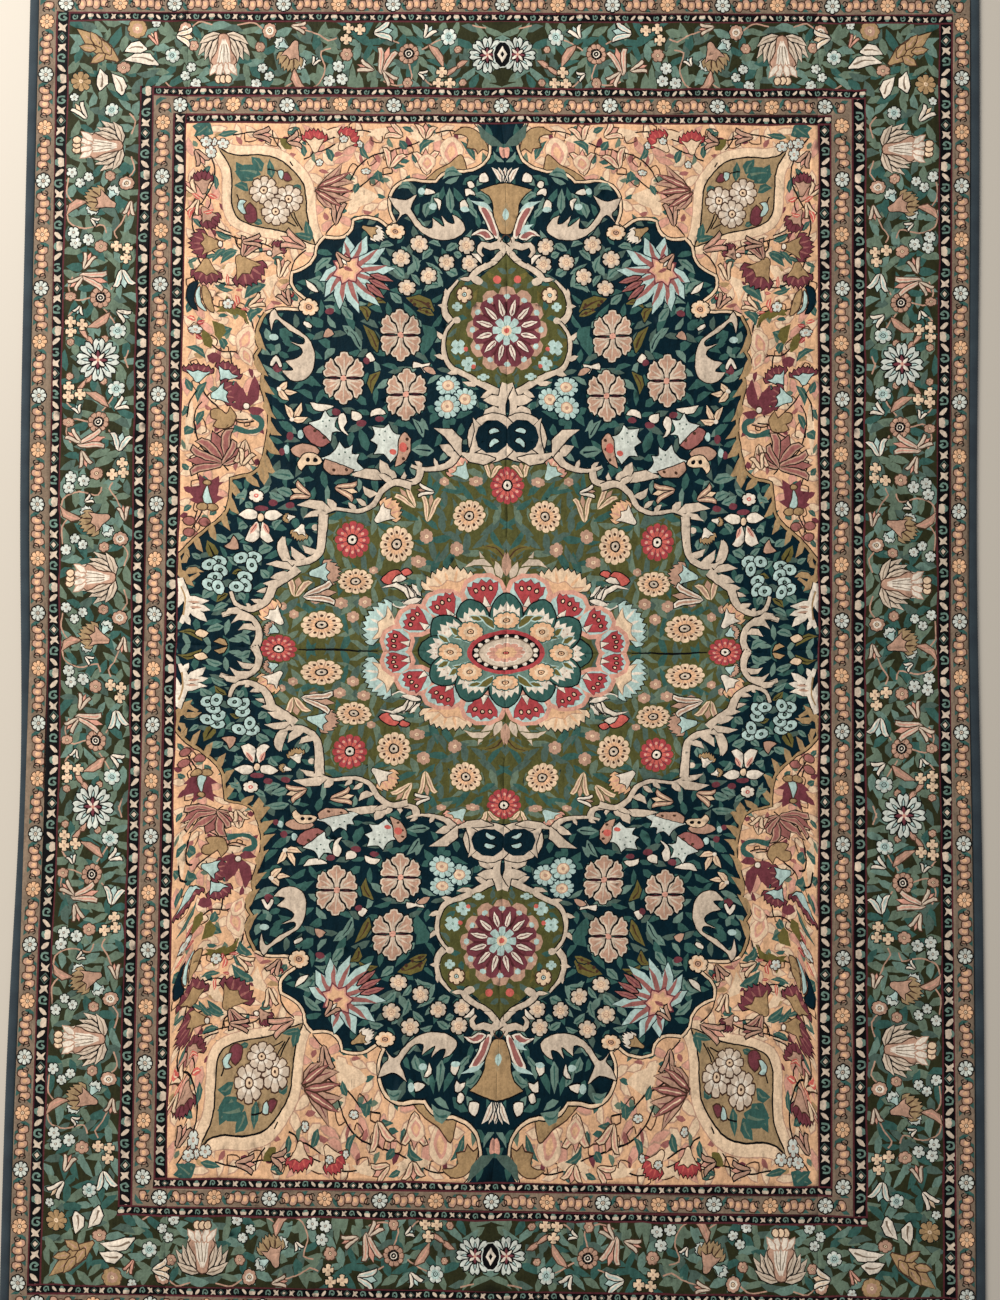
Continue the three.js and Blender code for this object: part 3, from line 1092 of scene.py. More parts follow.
        # speckled flowers: pale body with a warm side
        pale = (
            ((180, 378, 1), (198, 384), (206, 400, 1), (214, 392), (234, 394, 1), (230, 380), (238, 370, 1),
             (226, 362),
             (232, 346, 1), (216, 346), (204, 332, 1), (190, 350)),
            ((248, 318, 1), (262, 334), (258, 346, 1), (270, 346), (270, 362, 1), (282, 354), (292, 366, 1),
             (298, 352),
             (308, 342), (322, 336, 1), (304, 324), (276, 316)),
            ((290, 384, 1), (300, 392), (294, 410, 1), (308, 408), (316, 420, 1), (324, 404), (344, 398, 1),
             (330, 380),
             (308, 364), (304, 382)),
        )
        warm = (
            ((168, 372, 1), (178, 384), (188, 372), (190, 352), (196, 324, 1), (182, 332), (170, 352)),
            ((268, 318, 1), (286, 324), (316, 334, 1), (320, 320), (306, 308, 1), (276, 310)),
        )
        self.shapes(pen, Dye.PEARL, pale, Dye.INK)
        self.shapes(pen, Dye.TAN, warm, Dye.INK)
        self.shapes(pen, Dye.ROSE, (((308, 364, 1), (322, 378), (342, 394, 1), (354, 388), (344, 368),
            (324, 356)),), Dye.INK)
        self.blobs(pen, Dye.BROWN, ((174, 372, 3, 3), (175, 356, 3, 3), (182, 338, 3, 3), (280, 318, 3, 3),
            (302, 316, 3, 3), (318, 372, 3, 3),
                                    (334, 384, 3, 3)))
        self.blobs(pen, Dye.CORAL, ((182, 358, 7, 9), (200, 350, 6, 5)))
        self.blobs(pen, Dye.SLATE, ((204, 376, 1.6, 1.6), (214, 370, 1.6, 1.6), (222, 380, 1.6, 1.6),
            (212, 386, 1.6, 1.6), (282, 348, 1.6, 1.6),
                                    (292, 344, 1.6, 1.6), (274, 340, 1.6, 1.6), (308, 402, 1.6, 1.6),
                                    (314, 392, 1.6, 1.6), (320, 400, 1.6, 1.6)))
        self.shapes(pen, Dye.TAN, (((326, 348), (338, 358), (360, 360), (374, 350), (368, 340), (350, 336),
            (336, 338)),), Dye.INK)
        self.shapes(pen, Dye.SHELL, (((322, 330), (330, 342), (350, 344), (364, 322), (358, 314),
            (350, 324), (332, 324)),), Dye.INK)
        self.blobs(pen, Dye.INK, ((333, 333, 4, 4), (346, 333, 4, 4)))
        stars = ((397, 457, ((366, 453), (384, 471), (379, 438))),
            (373, 404, ((357, 434), (386, 430), (346, 408))))
        for x, y, tips in stars:
            for own in self.quarters(pen):
                for tip in tips:
                    own.blade(Dye.SHELL, (x, y), tip, 11, 0.1, Dye.TAN, Dye.INK)
                own.blob(Dye.IVORY, x, y, 4)

    def flank_flowers(self, pen: Pen) -> None:
        """Draw the flowers on the navy ground beside the oval."""
        self.blades(pen, Dye.SEA, (
            (404, 178, 428, 164, 18, 0.15), (436, 168, 454, 182, 12, 0), (464, 144, 480, 158, 12, 0.1),
            (480, 184, 500, 196, 14, 0),
            (500, 98, 522, 82, 18, 0.1), (450, 84, 460, 98, 14, 0), (478, 74, 504, 60, 12, 0.1),
            (438, 6, 466, 18, 16, 0.2), (484, 34, 514, 24, 14, 0.1),
            (410, 124, 424, 138, 16, 0), (440, 246, 452, 256, 14, 0), (340, 180, 346, 202, 16, 0),
            (524, 152, 540, 160, 12, 0),
            (388, 226, 400, 208, 14, 0.3), (446, 214, 462, 208, 16, 0.3), (410, 286, 432, 270, 12, 0),
            (372, 268, 400, 280, 18, 0.1),
            (385, 262, 412, 276, 16, -0.1), (350, 286, 372, 292, 18, 0.2), (452, 268, 470, 262, 12, 0.1),
            (370, 300, 410, 306, 20, 0.1),
        ), Dye.TEAL)
        self.blades(pen, Dye.MOSS, ((478, 92, 498, 76, 13, 0.1), (498, 152, 514, 184, 20, 0),
            (520, 8, 560, 20, 12, 0.2), (456, 136, 472, 128, 10, 0)), Dye.INK)
        for x, y, turn in (
            (433, 160, 20), (456, 158, -25), (438, 146, 80), (450, 125, 10), (449, 110, 60),
            (464, 106, -10),
            (493, 149, 0), (510, 142, -20), (491, 133, 30), (500, 120, -10), (509, 107, 30), (494, 103, 70),
        ):
            for own in self.quarters(pen):
                one = own.at(x, y, turn)
                one.blob(Dye.AQUA, 0, 0, 13, 9.5, Dye.INK)
                one.blob(Dye.INK, 0, 0, 4.4, 4, sides=8)
                one.blob(Dye.SEA, 0, 0, 2, 2, sides=6)
        self.spread(pen, (
            Placing(Rosette(6, Dye.IVORY, Dye.INK, None, None, None, None, Dye.CORAL, 0.8, 0.34),
                ((434, 268, 25, 22),)),
            Placing(Carnation(Dye.CAMEL, Dye.IVORY, Dye.INK),
                ((352, 218, 30, 30, 200), (366, 232, 16, 22, -100))),
            Placing(Lily(Dye.TAN, Dye.SHELL, Dye.INK), ((300, 286, 34, 40, 100), (340, 268, 34, 36, -70))),
        ))
        self.blobs(pen, Dye.WINE, ((376, 252, 8, 6), (405, 257, 8, 6), (424, 246, 12, 5)))
        # the hanging lily beside the curl
        self.shapes(pen, Dye.IVORY, (
            ((388, 236, 1), (402, 244), (416, 240), (418, 230), (402, 226)),
            ((462, 234, 1), (446, 244), (432, 240), (430, 230), (446, 226)),
            ((403, 190, 1), (412, 206), (420, 222), (424, 204), (424, 196), (412, 186)),
            ((450, 190, 1), (444, 206), (430, 222), (426, 204), (426, 196), (438, 186)),
        ), Dye.INK)
        self.blades(pen, Dye.SALMON, ((418, 220, 410, 200, 9, 0), (430, 220, 442, 200, 9, 0)), Dye.WINE)
        self.blobs(pen, Dye.SHELL, ((424, 230, 5, 7),), Dye.INK)
        self.shapes(pen, Dye.TAN, (((460, 174), (464, 188), (470, 196), (474, 184), (484, 176),
            (472, 172)),), Dye.INK)
        self.blobs(pen, Dye.BEIGE, ((330, 214, 7, 6),))
        for own in self.quarters(pen):
            feather(own, Dye.CAMEL, ((566, 150), (560, 128), (546, 112), (526, 126)), 16,
                    ((556, 130, 534, 102, 16, 0.1), (552, 122, 518, 128, 12, -0.2),
                     (560, 140, 552, 164, 10, 0.3)), Dye.NAVY)
            feather(own, Dye.IVORY, ((562, 112), (552, 90), (544, 66), (556, 36)), 20, (
                (544, 84, 510, 78, 12, 0.1), (540, 70, 508, 62, 12, 0), (544, 60, 512, 42, 16, -0.1),
                (550, 50, 540, 34, 12, 0), (552, 96, 562, 60, 18, 0.1),
            ), Dye.INK)
            own.line(Dye.CAMEL, ((556, 100), (550, 80), (552, 50)), 3)
            own.blade(Dye.TAN, (545, 74), (524, 76), 5)
            own.blade(Dye.TAN, (542, 66), (522, 66), 5)
            own.fill(Dye.SHELL, ((510, 22), (524, 28), (532, 20), (518, 14)), Dye.INK)
            own.blade(Dye.CAMEL, (478, 2), (500, 8), 10, 0.2, None, Dye.INK)

    def oval(self, pen: Pen) -> None:
        """Draw the green oval with its leaves, rosettes and small flowers."""
        for own in self.quarters(pen):
            own.fill(Dye.OLIVE, self.oval_edge)
        self.strew(pen, LeafGround(self.oval_edge, 25, 44, 13, (Dye.SLATE, Dye.SLATE, Dye.SAGE, Dye.TEAL),
            (0, 0), 11))
        self.stems(pen, Dye.INK, 2.0, (((222, 0), (300, 1), (362, 0)),))
        self.spread(pen, (
            Placing(TAN_FLORET, (
                (87, 182, 24, 26), (140, 203, 24, 26), (153, 158, 28, 22), (246, 86, 24, 20),
                (287, 83, 24, 20), (265, 60, 22, 20), (55, 300, 26, 18),
                (330, 88, 18, 18), (366, 62, 18, 16), (232, 142, 16, 14), (110, 300, 18, 16),
                (385, 75, 14, 14),
            )),
            Placing(PEACH_ROSETTE, ((67, 240, 56, 56), (191, 187, 58, 64), (262, 122, 60, 44),
                (318, 43, 72, 48))),
            Placing(RED_ROSETTE, ((267, 195, 60, 66), (0, 293, 60, 66), (390, 0, 62, 50))),
            Placing(Carnation(Dye.PEACH, Dye.IVORY, Dye.INK, Dye.SALMON),
                ((228, 228, 46, 52, 52), (386, 44, 42, 52, -42))),
            Placing(Carnation(Dye.SALMON, Dye.AQUA, Dye.OLIVE, Dye.SHELL), ((70, 306, 44, 44, -40),)),
            Placing(Carnation(Dye.TAN, Dye.AQUA, Dye.INK),
                ((340, 132, 44, 54, 82), (392, 30, 26, 26, -70))),
            Placing(Lily(Dye.SHELL, Dye.TAN, Dye.OLIVE),
                ((30, 306, 34, 28, 10), (138, 228, 32, 50, 6), (160, 252, 32, 44, -40),
                 (366, 92, 46, 36, 12))),
            Placing(Lily(Dye.IVORY, Dye.TAN, Dye.INK), ((352, 92, 40, 58, 80), (128, 280, 22, 30, -82))),
        ))
        self.shapes(pen, Dye.CORAL, (((166, 138), (172, 144), (184, 140), (180, 132)),
            ((182, 130), (190, 142), (206, 138), (218, 126), (206, 118), (194, 124))), Dye.INK)
        self.blades(pen, Dye.IVORY, ((176, 128, 200, 122, 12, 0.1), (150, 98, 166, 118, 9, 0),
            (156, 92, 178, 118, 9, 0), (160, 88, 186, 118, 9, 0.1),
                                     (168, 88, 218, 112, 9, 0.3), (150, 88, 204, 84, 14, -0.1),
                                     (148, 92, 184, 82, 10, 0)), None, Dye.INK)
        self.blades(pen, Dye.SEA, ((152, 104, 158, 132, 13, 0.1), (178, 80, 200, 88, 10, 0)))

    def scrolls(self, pen: Pen) -> None:
        """Draw the beige acanthus scrolls round the green oval."""
        for own in self.quarters(pen):
            feather(own, Dye.BEIGE, ((86, 350), (100, 332), (124, 322), (150, 320), (168, 326)), 14, (
                (94, 344, 118, 364, 18, 0.15), (122, 322, 128, 340, 8, 0), (150, 322, 162, 334, 9, 0.1)))
            feather(own, Dye.BEIGE, ((152, 318), (156, 302), (176, 296), (204, 302), (228, 304),
                (270, 310)), 12, (
                (186, 300, 180, 316, 8, 0.2), (196, 300, 204, 320, 12, 0), (206, 302, 222, 336, 20, 0),
                (214, 302, 268, 312, 20, 0.1)))
            feather(own, Dye.BEIGE, ((168, 290), (196, 296), (220, 280), (232, 258), (258, 246), (300, 248),
                (318, 240)), 13, (
                (226, 276, 252, 290, 14, -0.2), (244, 256, 262, 268, 9, 0), (262, 248, 276, 260, 9, 0),
                (296, 248, 312, 266, 14, 0), (304, 246, 364, 252, 18, 0.1),
                (312, 240, 352, 230, 12, 0.1), (200, 296, 226, 312, 12, 0)))
            feather(own, Dye.BEIGE, ((318, 238), (319, 204), (326, 168), (350, 152), (378, 154), (391, 172),
                (392, 186), (384, 196)), 16, (
                (328, 172, 354, 182, 13, -0.2), (346, 158, 372, 180, 16, -0.2),
                (374, 158, 382, 198, 14, -0.2)))
            feather(own, Dye.BEIGE, ((360, 142), (376, 128), (396, 112), (408, 100)), 16, (
                (366, 140, 414, 148, 14, 0.1), (372, 132, 408, 124, 16, 0), (390, 118, 420, 114, 14, -0.1),
                (404, 104, 430, 100, 10, 0)))
            feather(own, Dye.BEIGE, ((404, 108), (412, 86), (430, 72), (450, 68), (466, 76), (473, 96)), 15,
                (
                (418, 84, 440, 86, 9, -0.1), (440, 72, 448, 78, 8, 0)))
            feather(own, Dye.BEIGE, ((488, 54), (462, 62), (440, 56), (426, 38), (423, 14), (432, -4)), 8,
                ())
            feather(own, Dye.BEIGE, ((432, -2), (424, 16), (428, 40), (446, 58), (470, 60)), 14, (
                (432, 46, 472, 40, 14, 0.3), (428, 32, 460, 28, 12, 0.25), (450, 60, 488, 52, 12, 0.2)))

    def cartouche(self, pen: Pen) -> None:
        """Draw the framed green cartouche above the oval, and the scrolls that carry it."""
        half = self.cartouche_edge
        for own in self.quarters(pen):
            own.fill(Dye.OLIVE, half)
        self.strew(pen, LeafGround(half, 24, 22, 10, (Dye.TEAL, Dye.SLATE, Dye.MOSS), (0, 565), 5))
        for own in self.quarters(pen):
            feather(own, Dye.BEIGE, ((0, 446), (34, 466), (72, 486), (100, 500), (112, 528), (109, 556),
                (98, 574), (88, 584)), 13, (
                (28, 462, 48, 448, 12, -0.1), (50, 474, 80, 474, 10, -0.1), (84, 492, 106, 488, 10, 0),
                (108, 514, 128, 521, 9, 0), (110, 548, 123, 562, 9, -0.1)))
            feather(own, Dye.BEIGE, ((98, 580), (108, 592), (110, 612), (104, 630), (86, 652)), 12,
                ((104, 606, 122, 608, 8, 0), (106, 622, 108, 638, 9, 0)))
            feather(own, Dye.BEIGE, ((50, 650), (62, 658), (48, 672), (24, 684), (6, 700), (-4, 716)), 13,
                ((40, 672, 38, 684, 9, 0), (62, 654, 84, 654, 8, 0)))
            own.blob(Dye.BEIGE, 88, 582, 7, 6)
            own.blob(Dye.BEIGE, 50, 650, 7, 6)
        # the burgundy flower inside
        for own in self.quarters(pen, 0, 1):
            Rosette(12, Dye.TAN, Dye.OLIVE, None, Dye.MAROON, None, None, None, 0.84).draw(own, 0, 566, 142,
                156)
            Rosette(12, Dye.WINE, None, None, Dye.MAROON, None, None, None, 0.78).draw(own, 0, 566, 122,
                132, 15)
            for k in range(12):
                spoke = own.at(0, 566, k * 30 + 15)
                spoke.blade(Dye.IVORY, (0, 24), (0, 56), 10, 0, Dye.WINE, Dye.MAROON)
                own.at(0, 566, k * 30).blob(Dye.AQUA, 0, 60, 6, 5, sides=6)
            Rosette(8, Dye.AQUA, Dye.WINE, None, Dye.SEA, None, None, None, 0.6).draw(own, 0, 566, 50, 52)
            own.blob(Dye.SHELL, 0, 566, 9, 9)
            own.blob(Dye.CORAL, 0, 566, 5, 5)
        self.spread(pen, (
            Placing(Rosette(6, Dye.SHELL, Dye.BROWN, None, None, None, Dye.BROWN, Dye.AQUA, 0.7, 0.22),
                ((75, 627, 27, 27),)),
            Placing(Rosette(4, Dye.AQUA, Dye.OLIVE, None, None, None, None, Dye.SEA, 0.62, 0.16),
                ((86, 535, 26, 30, 40), (68, 506, 26, 26, 10), (88, 606, 18, 16, 0), (42, 484, 22, 12, 0))),
        ))
        self.blobs(pen, Dye.CORAL, ((59, 502, 4, 4), (73, 532, 4, 4), (18, 655, 7, 7)))
        # the carrying scrolls with their dark eyes
        for own in self.quarters(pen):
            feather(own, Dye.BEIGE, ((0, 470), (8, 450), (10, 426), (4, 402)), 20,
                ((8, 436, 44, 444, 20, 0.1), (6, 420, 46, 404, 22, 0.25)))
            own.blob(Dye.INK, 26, 377, 45, 45, sides=20)
            own.blob(Dye.BEIGE, 26, 377, 43, 43, sides=20)
        leaves = ((64, 346, 60, 412, 26, 0.25), (80, 346, 128, 393, 22, 0.2), (58, 350, 38, 371, 12, -0.3),
            (20, 340, 84, 352, 20, -0.1))
        self.blades(pen, Dye.BEIGE, leaves, None, Dye.INK)
        self.blades(pen, Dye.BEIGE, leaves)
        self.blobs(pen, Dye.NAVY, ((26, 379, 30, 30),))
        self.shapes(pen, Dye.AQUA, (((14, 388), (22, 394), (32, 390), (30, 384), (22, 386)),
            ((14, 370), (22, 376), (30, 368), (30, 360), (22, 366))), Dye.INK)

    def pendant(self, pen: Pen) -> None:
        """Draw the lily that stands on the cartouche, up to the neck."""
        self.blades(pen, Dye.SLATE, ((2, 890, 44, 928, 20, -0.15),))
        self.blades(pen, Dye.SEA, ((2, 862, 20, 880, 9, -0.2),))
        self.shapes(pen, Dye.SALMON, (((0, 886, 1), (8, 888), (9, 878), (4, 868), (0, 870, 1)),))
        self.blades(pen, Dye.IVORY, ((2, 826, 1, 852, 8, 0), (6, 826, 12, 852, 9, 0.1),
            (8, 826, 24, 852, 10, 0.1)), Dye.TAN, Dye.NAVY)
        vase = ((0, 824, 1), (16, 821), (46, 812, 1), (30, 801), (22, 786), (21, 770), (16, 750), (8, 736),
            (0, 735, 1))
        self.shapes(pen, Dye.CAMEL, (vase,), Dye.INK)
        self.shapes(pen, Dye.CAMEL, (vase,))
        self.shapes(pen, Dye.FAWN, (((0, 790, 1), (7, 776), (6, 752), (0, 746, 1)),))
        self.shapes(pen, Dye.AQUA, (((0, 780, 1), (5, 773), (4, 762), (0, 758, 1)),))
        rose = (
            ((13, 726), (22, 764), (34, 784), (48, 784), (36, 758), (26, 732)),
            ((22, 728), (36, 742), (50, 740), (62, 730, 1), (48, 732), (36, 724)),
        )
        rose_hearts = (
            ((17, 730), (25, 762), (36, 780), (43, 780), (32, 756), (23, 734)),
            ((26, 729), (37, 739), (48, 737), (56, 731, 1), (46, 734), (36, 727)),
        )
        self.shapes(pen, Dye.IVORY, rose, Dye.INK)
        self.shapes(pen, Dye.ROSE, rose_hearts)
        self.shapes(pen, Dye.AQUA, (((23, 773), (34, 788), (62, 792, 1), (48, 784), (34, 780)),
            ((26, 734), (32, 750), (50, 752, 1), (42, 746), (62, 732, 1), (44, 741))))
        for own in self.quarters(pen):
            feather(own, Dye.BEIGE, ((0, 706), (12, 716), (28, 712), (42, 716), (48, 704), (42, 694)), 16,
                ((10, 716, 12, 730, 9, 0), (8, 706, 28, 688, 12, -0.2)))
            own.blade(Dye.IVORY, (45, 682), (62, 698), 9, 0.2, None, Dye.INK)
            own.line(Dye.BROWN, ((0, 734), (6, 730), (10, 720)), 2)

    def centre(self, pen: Pen) -> None:
        """Draw the great oval flower in the middle, from its outer fans inwards."""
        self.blades(pen, Dye.MOSS, ((0, 154, 50, 184, 16, 0.25), (6, 140, 30, 168, 14, 0)), Dye.BROWN)
        self.blades(pen, Dye.BEIGE, ((16, 134, 48, 178, 14, -0.1), (26, 152, 72, 150, 12, 0.2),
            (8, 130, 20, 160, 14, 0)), None, Dye.OLIVE)
        self.blades(pen, Dye.TAN, ((0, 134, 2, 176, 16, 0),))
        fans = Carnation(Dye.SHELL, Dye.PEACH, Dye.TAN, Dye.PEACH, 9)
        frosted = Carnation(Dye.AQUA, Dye.SHELL, Dye.TAUPE, Dye.IVORY, 9)
        self.spread(pen, (Placing(fans, ((94, 88, 88, 64, -14),)),
            Placing(frosted, ((184, 36, 80, 66, -68),))))
        scallops = ((40, 106, 34, 27), (108, 82, 33, 23), (157, 54, 30, 22), (188, 18, 23, 23))
        self.blobs(pen, Dye.SALMON, tuple((x, y, rx + 8, ry + 8) for x, y, rx, ry in scallops))
        self.blobs(pen, Dye.AQUA, scallops)
        side = ((0.14, 0.0), (0.46, 0.52), (0.5, 0.8), (0.36, 0.78), (0.28, 0.96), (0.14, 0.86))
        heads = ((37, 84, 54, 44, -8), (97, 65, 48, 40, -34), (140, 43, 42, 40, -58),
            (169, 15, 36, 38, -80))
        for x, y, wide, high, turn in heads:
            for own in self.quarters(pen):
                head = own.at(x, y, turn, wide, high)
                head.poly(Dye.RED, [*side, (0, 1.02), *((-px, py) for px, py in side[::-1])], Dye.WINE, 1.2)
                head.poly(Dye.IVORY, ((-0.14, -0.06), (0.14, -0.06), (0, 0.36)), Dye.INK, 1.4)
                for px, py in ((-0.25, 0.62), (0, 0.68), (0.25, 0.62)):
                    head.at(px, py).blob(Dye.SHELL, 0, 0, 0.05, 0.07, Dye.INK, 6)
        lobe = ((-25, -8), (-26, 12), (-15, 29), (0, 36), (15, 29), (26, 12), (25, -8))
        ruffle = (
            (-23, -10), (-23, 12), (-16, 7), (-11, 18), (-6, 12), (0, 23), (6, 12), (11, 18), (16, 7),
            (23, 12), (23, -10),
        )
        for own in self.quarters(pen, 0, 0):
            for k in range(12):
                turn = k * math.tau / 12
                lean = math.degrees(math.atan2(-98 * math.cos(turn), 157 * math.sin(turn)))
                one = own.at(115 * math.cos(turn), 67 * math.sin(turn), lean)
                one.fill(Dye.TEAL, lobe, Dye.INK, 2.4)
                one.poly(Dye.IVORY, ruffle)
                for px, py in ((-14, 2), (-5, 6), (5, 6), (14, 2)):
                    one.blob(Dye.TAN, px, py, 1.6, 1.6, sides=5)
            own.blob(Dye.SEA, 0, 0, 108, 62, Dye.SAGE, 32)
        self.blades(pen, Dye.MOSS, ((22, 44, 48, 66, 12, 0.1), (86, 30, 98, 44, 9, 0.1),
            (66, 20, 92, 26, 9, 0.2), (100, 18, 118, 30, 9, 0), (44, 58, 64, 64, 8, 0)), None, Dye.AQUA)
        self.spread(pen, (Placing(SMALL_PEACH, ((0, 56, 46, 28), (63, 37, 44, 34), (96, 0, 42, 32))),))
        for own in self.quarters(pen, 0, 0):
            own.blob(Dye.RED, 0, 0, 67, 40, sides=32)
            own.blob(Dye.INK, 0, 0, 59, 33, sides=32)
            for k in range(18):
                turn = (k + 0.5) * math.tau / 18
                pip = own.at(52 * math.cos(turn), 28 * math.sin(turn), math.degrees(turn))
                pip.blob(Dye.IVORY, 0, 0, 4.6, 4.2, sides=6)
            own.blob(Dye.BEIGE, 0, 0, 46, 25, Dye.TAUPE, 24)
            Rosette(12, Dye.SALMON, Dye.IVORY, Dye.SHELL, Dye.TAN, None, None, None, 0.82, 0.2,
                1.6).draw(own, 0, 0, 66, 35)
            Rosette(8, Dye.PEACH, Dye.SALMON, None, None, None, Dye.INK, Dye.CORAL, 0.84, 0.2,
                1.4).draw(own, 0, 0, 38, 22)


@dataclass
class DarkGuard:
    """A narrow black stripe with one small pale motif after another."""

    width: float = 25.0
    order: tuple[str, ...] = ("shell", "leaf", "hook", "bird", "diamond", "bird_back", "hook_back",
        "leaf_back")

    def draw(self, pen: Pen, length: float, start: int = 0) -> None:
        """Draw the stripe upwards from the pen's place.

        Args:
            pen: A pen at the middle of the stripe's foot.
            length: How long the stripe is.
            start: Which motif comes first.
        """
        half = self.width / 2
        pen.poly(Dye.MAROON, [(-half, 0), (half, 0), (half, length), (-half, length)])
        pen.poly(Dye.INK, [(3 - half, 0), (half - 3, 0), (half - 3, length), (3 - half, length)])
        count = max(round(length / (0.76 * self.width)), 1)
        pitch = length / count
        size = min((self.width - 7) / 16, pitch / 17)
        for k in range(count):
            own = pen.at(0, (k + 0.5) * pitch, 0, size)
            self.motif(own, self.order[(k + start) % len(self.order)])

    def motif(self, pen: Pen, name: str) -> None:
        """Draw one motif, about 16 units across."""
        if name.endswith("_back"):
            pen = pen.at(0, 0, 0, 1, -1)
            name = name[:-5]
        if name == "leaf":
            pen.fill(Dye.BEIGE, ((-6, -5), (-1, -5), (6, 2), (6, 6), (1, 5), (-5, -1)))
        elif name == "shell":
            pen.poly(Dye.BEIGE, ((-7, -6), (-2, -8), (2, -7), (4, -4), (7, 0), (4, 4), (2, 7), (-2, 8),
                (-7, 6)))
            pen.poly(Dye.SEA, ((1, -6), (7, -4), (8, 0), (7, 4), (1, 6), (3, 0)))
        elif name == "hook":
            pen.line(Dye.SEA, ((-5, -5), (5, -4), (6, 3), (-1, 6), (-5, 2), (0, 0)), 3.2 * pen.scale)
        elif name == "bird":
            pen.poly(Dye.BEIGE, ((-7, -6), (-1, -2), (6, -7), (7, -2), (4, 1), (7, 6), (1, 5), (-6, 7),
                (-4, 1)))
        elif name == "diamond":
            pen.poly(Dye.SLATE, ((0, -9), (8, 0), (0, 9), (-8, 0)))
            pen.poly(Dye.INK, ((0, -7), (6, 0), (0, 7), (-6, 0)))
            pen.poly(Dye.BEIGE, ((0, -4.5), (4, 0), (0, 4.5), (-4, 0)))


@dataclass
class FloralGuard:
    """A grey-brown stripe where two small rosettes take turns, with buds and hooks between."""

    width: float = 36.0
    warm: Rosette = Rosette(8, Dye.PEACH, Dye.BROWN, None, Dye.BROWN, None, Dye.BROWN, Dye.SHELL, 0.66,
        0.22, 1.6)
    cool: Rosette = Rosette(8, Dye.PEARL, Dye.INK, None, Dye.INK, None, Dye.INK, Dye.BEIGE, 0.6, 0.24, 2.4)

    def draw(self, pen: Pen, length: float, start: int = 0) -> None:
        """Draw the stripe upwards from the pen's place, as a dark guard's."""
        half = self.width / 2
        pen.poly(Dye.TAUPE, [(-half, 0), (half, 0), (half, length), (-half, length)])
        count = max(round(length / 98), 1)
        pitch = length / count
        for k in range(-1, count):
            own = pen.at(0, (k + 0.5) * pitch)
            lean = 1 if k % 2 else -1
            for t, side in ((0.24, 1), (0.37, -1), (0.63, 1), (0.76, -1), (0.5, 1)):
                if not 8 < (k + 0.5 + t) * pitch < length - 8:
                    continue
                foot = own.at(0, t * pitch, 0, side * lean, 1)
                foot.blade(Dye.TEAL, (-half * 0.8, -6), (half * 0.3, 8), 9, 0.2)
            for t, side in ((0.3, -1), (0.44, 1), (0.57, -1), (0.7, 1)):
                if not 8 < (k + 0.5 + t) * pitch < length - 8:
                    continue
                bud = own.at(side * lean * half * 0.2, t * pitch, 0, side * lean, 1)
                bud.fill(Dye.TAN, ((-8, -5), (0, -6), (7, -2), (6, 5), (-2, 6), (-8, 4)), Dye.BROWN)
                bud.blob(Dye.PEACH, -2, 0, 4.6, 3.6, sides=7)
            if k < 0:
                continue
            for sign in (1, -1):
                hook = own.at(lean * half * 0.25, sign * 21, 0, lean, sign)
                hook.line(Dye.INK, ((-7, -3), (-5, 4), (2, 5), (4, -1), (0, -3)), 2.0)
            (self.warm if (k + start) % 2 else self.cool).draw(own, 0, 0, 25, 26)


class BorderFlower(Enum):
    """The flowers of the main border, by how they are drawn."""

    GREY_FLORET = Rosette(5, Dye.PEARL, Dye.INK, None, None, None, Dye.INK, Dye.IVORY, 0.6, 0.16, 1.6)
    CREAM_FLORET = Rosette(4, Dye.SHELL, Dye.INK, None, None, None, None, Dye.TAN, 0.42, 0.2, 1.6)
    SMALL_TAN = Rosette(6, Dye.TAN, Dye.BROWN, None, None, None, Dye.BROWN, Dye.SHELL, 0.8, 0.24, 1.6)
    RING = Rosette(8, Dye.TAN, Dye.INK, Dye.IVORY, None, None, Dye.INK, Dye.SHELL, 0.86, 0.22, 1.6)
    BELL = Rosette(10, Dye.TAN, Dye.BROWN, Dye.INK, Dye.BROWN, None, Dye.IVORY, Dye.INK, 0.84, 0.26, 1.6)
    AQUA_EYE = Rosette(6, Dye.PEARL, Dye.INK, Dye.AQUA, Dye.SEA, None, Dye.INK, Dye.AQUA, 0.7, 0.2, 1.6)
    WHITE_LILY = Lily(Dye.IVORY, Dye.AQUA, Dye.INK)
    PINK_LILY = Lily(Dye.BEIGE, Dye.SALMON, Dye.BROWN)
    THORN = Carnation(Dye.FAWN, Dye.TAN, Dye.INK, Dye.BROWN, 8)
    TIP = Carnation(Dye.PEARL, Dye.AQUA, Dye.INK, None, 4)


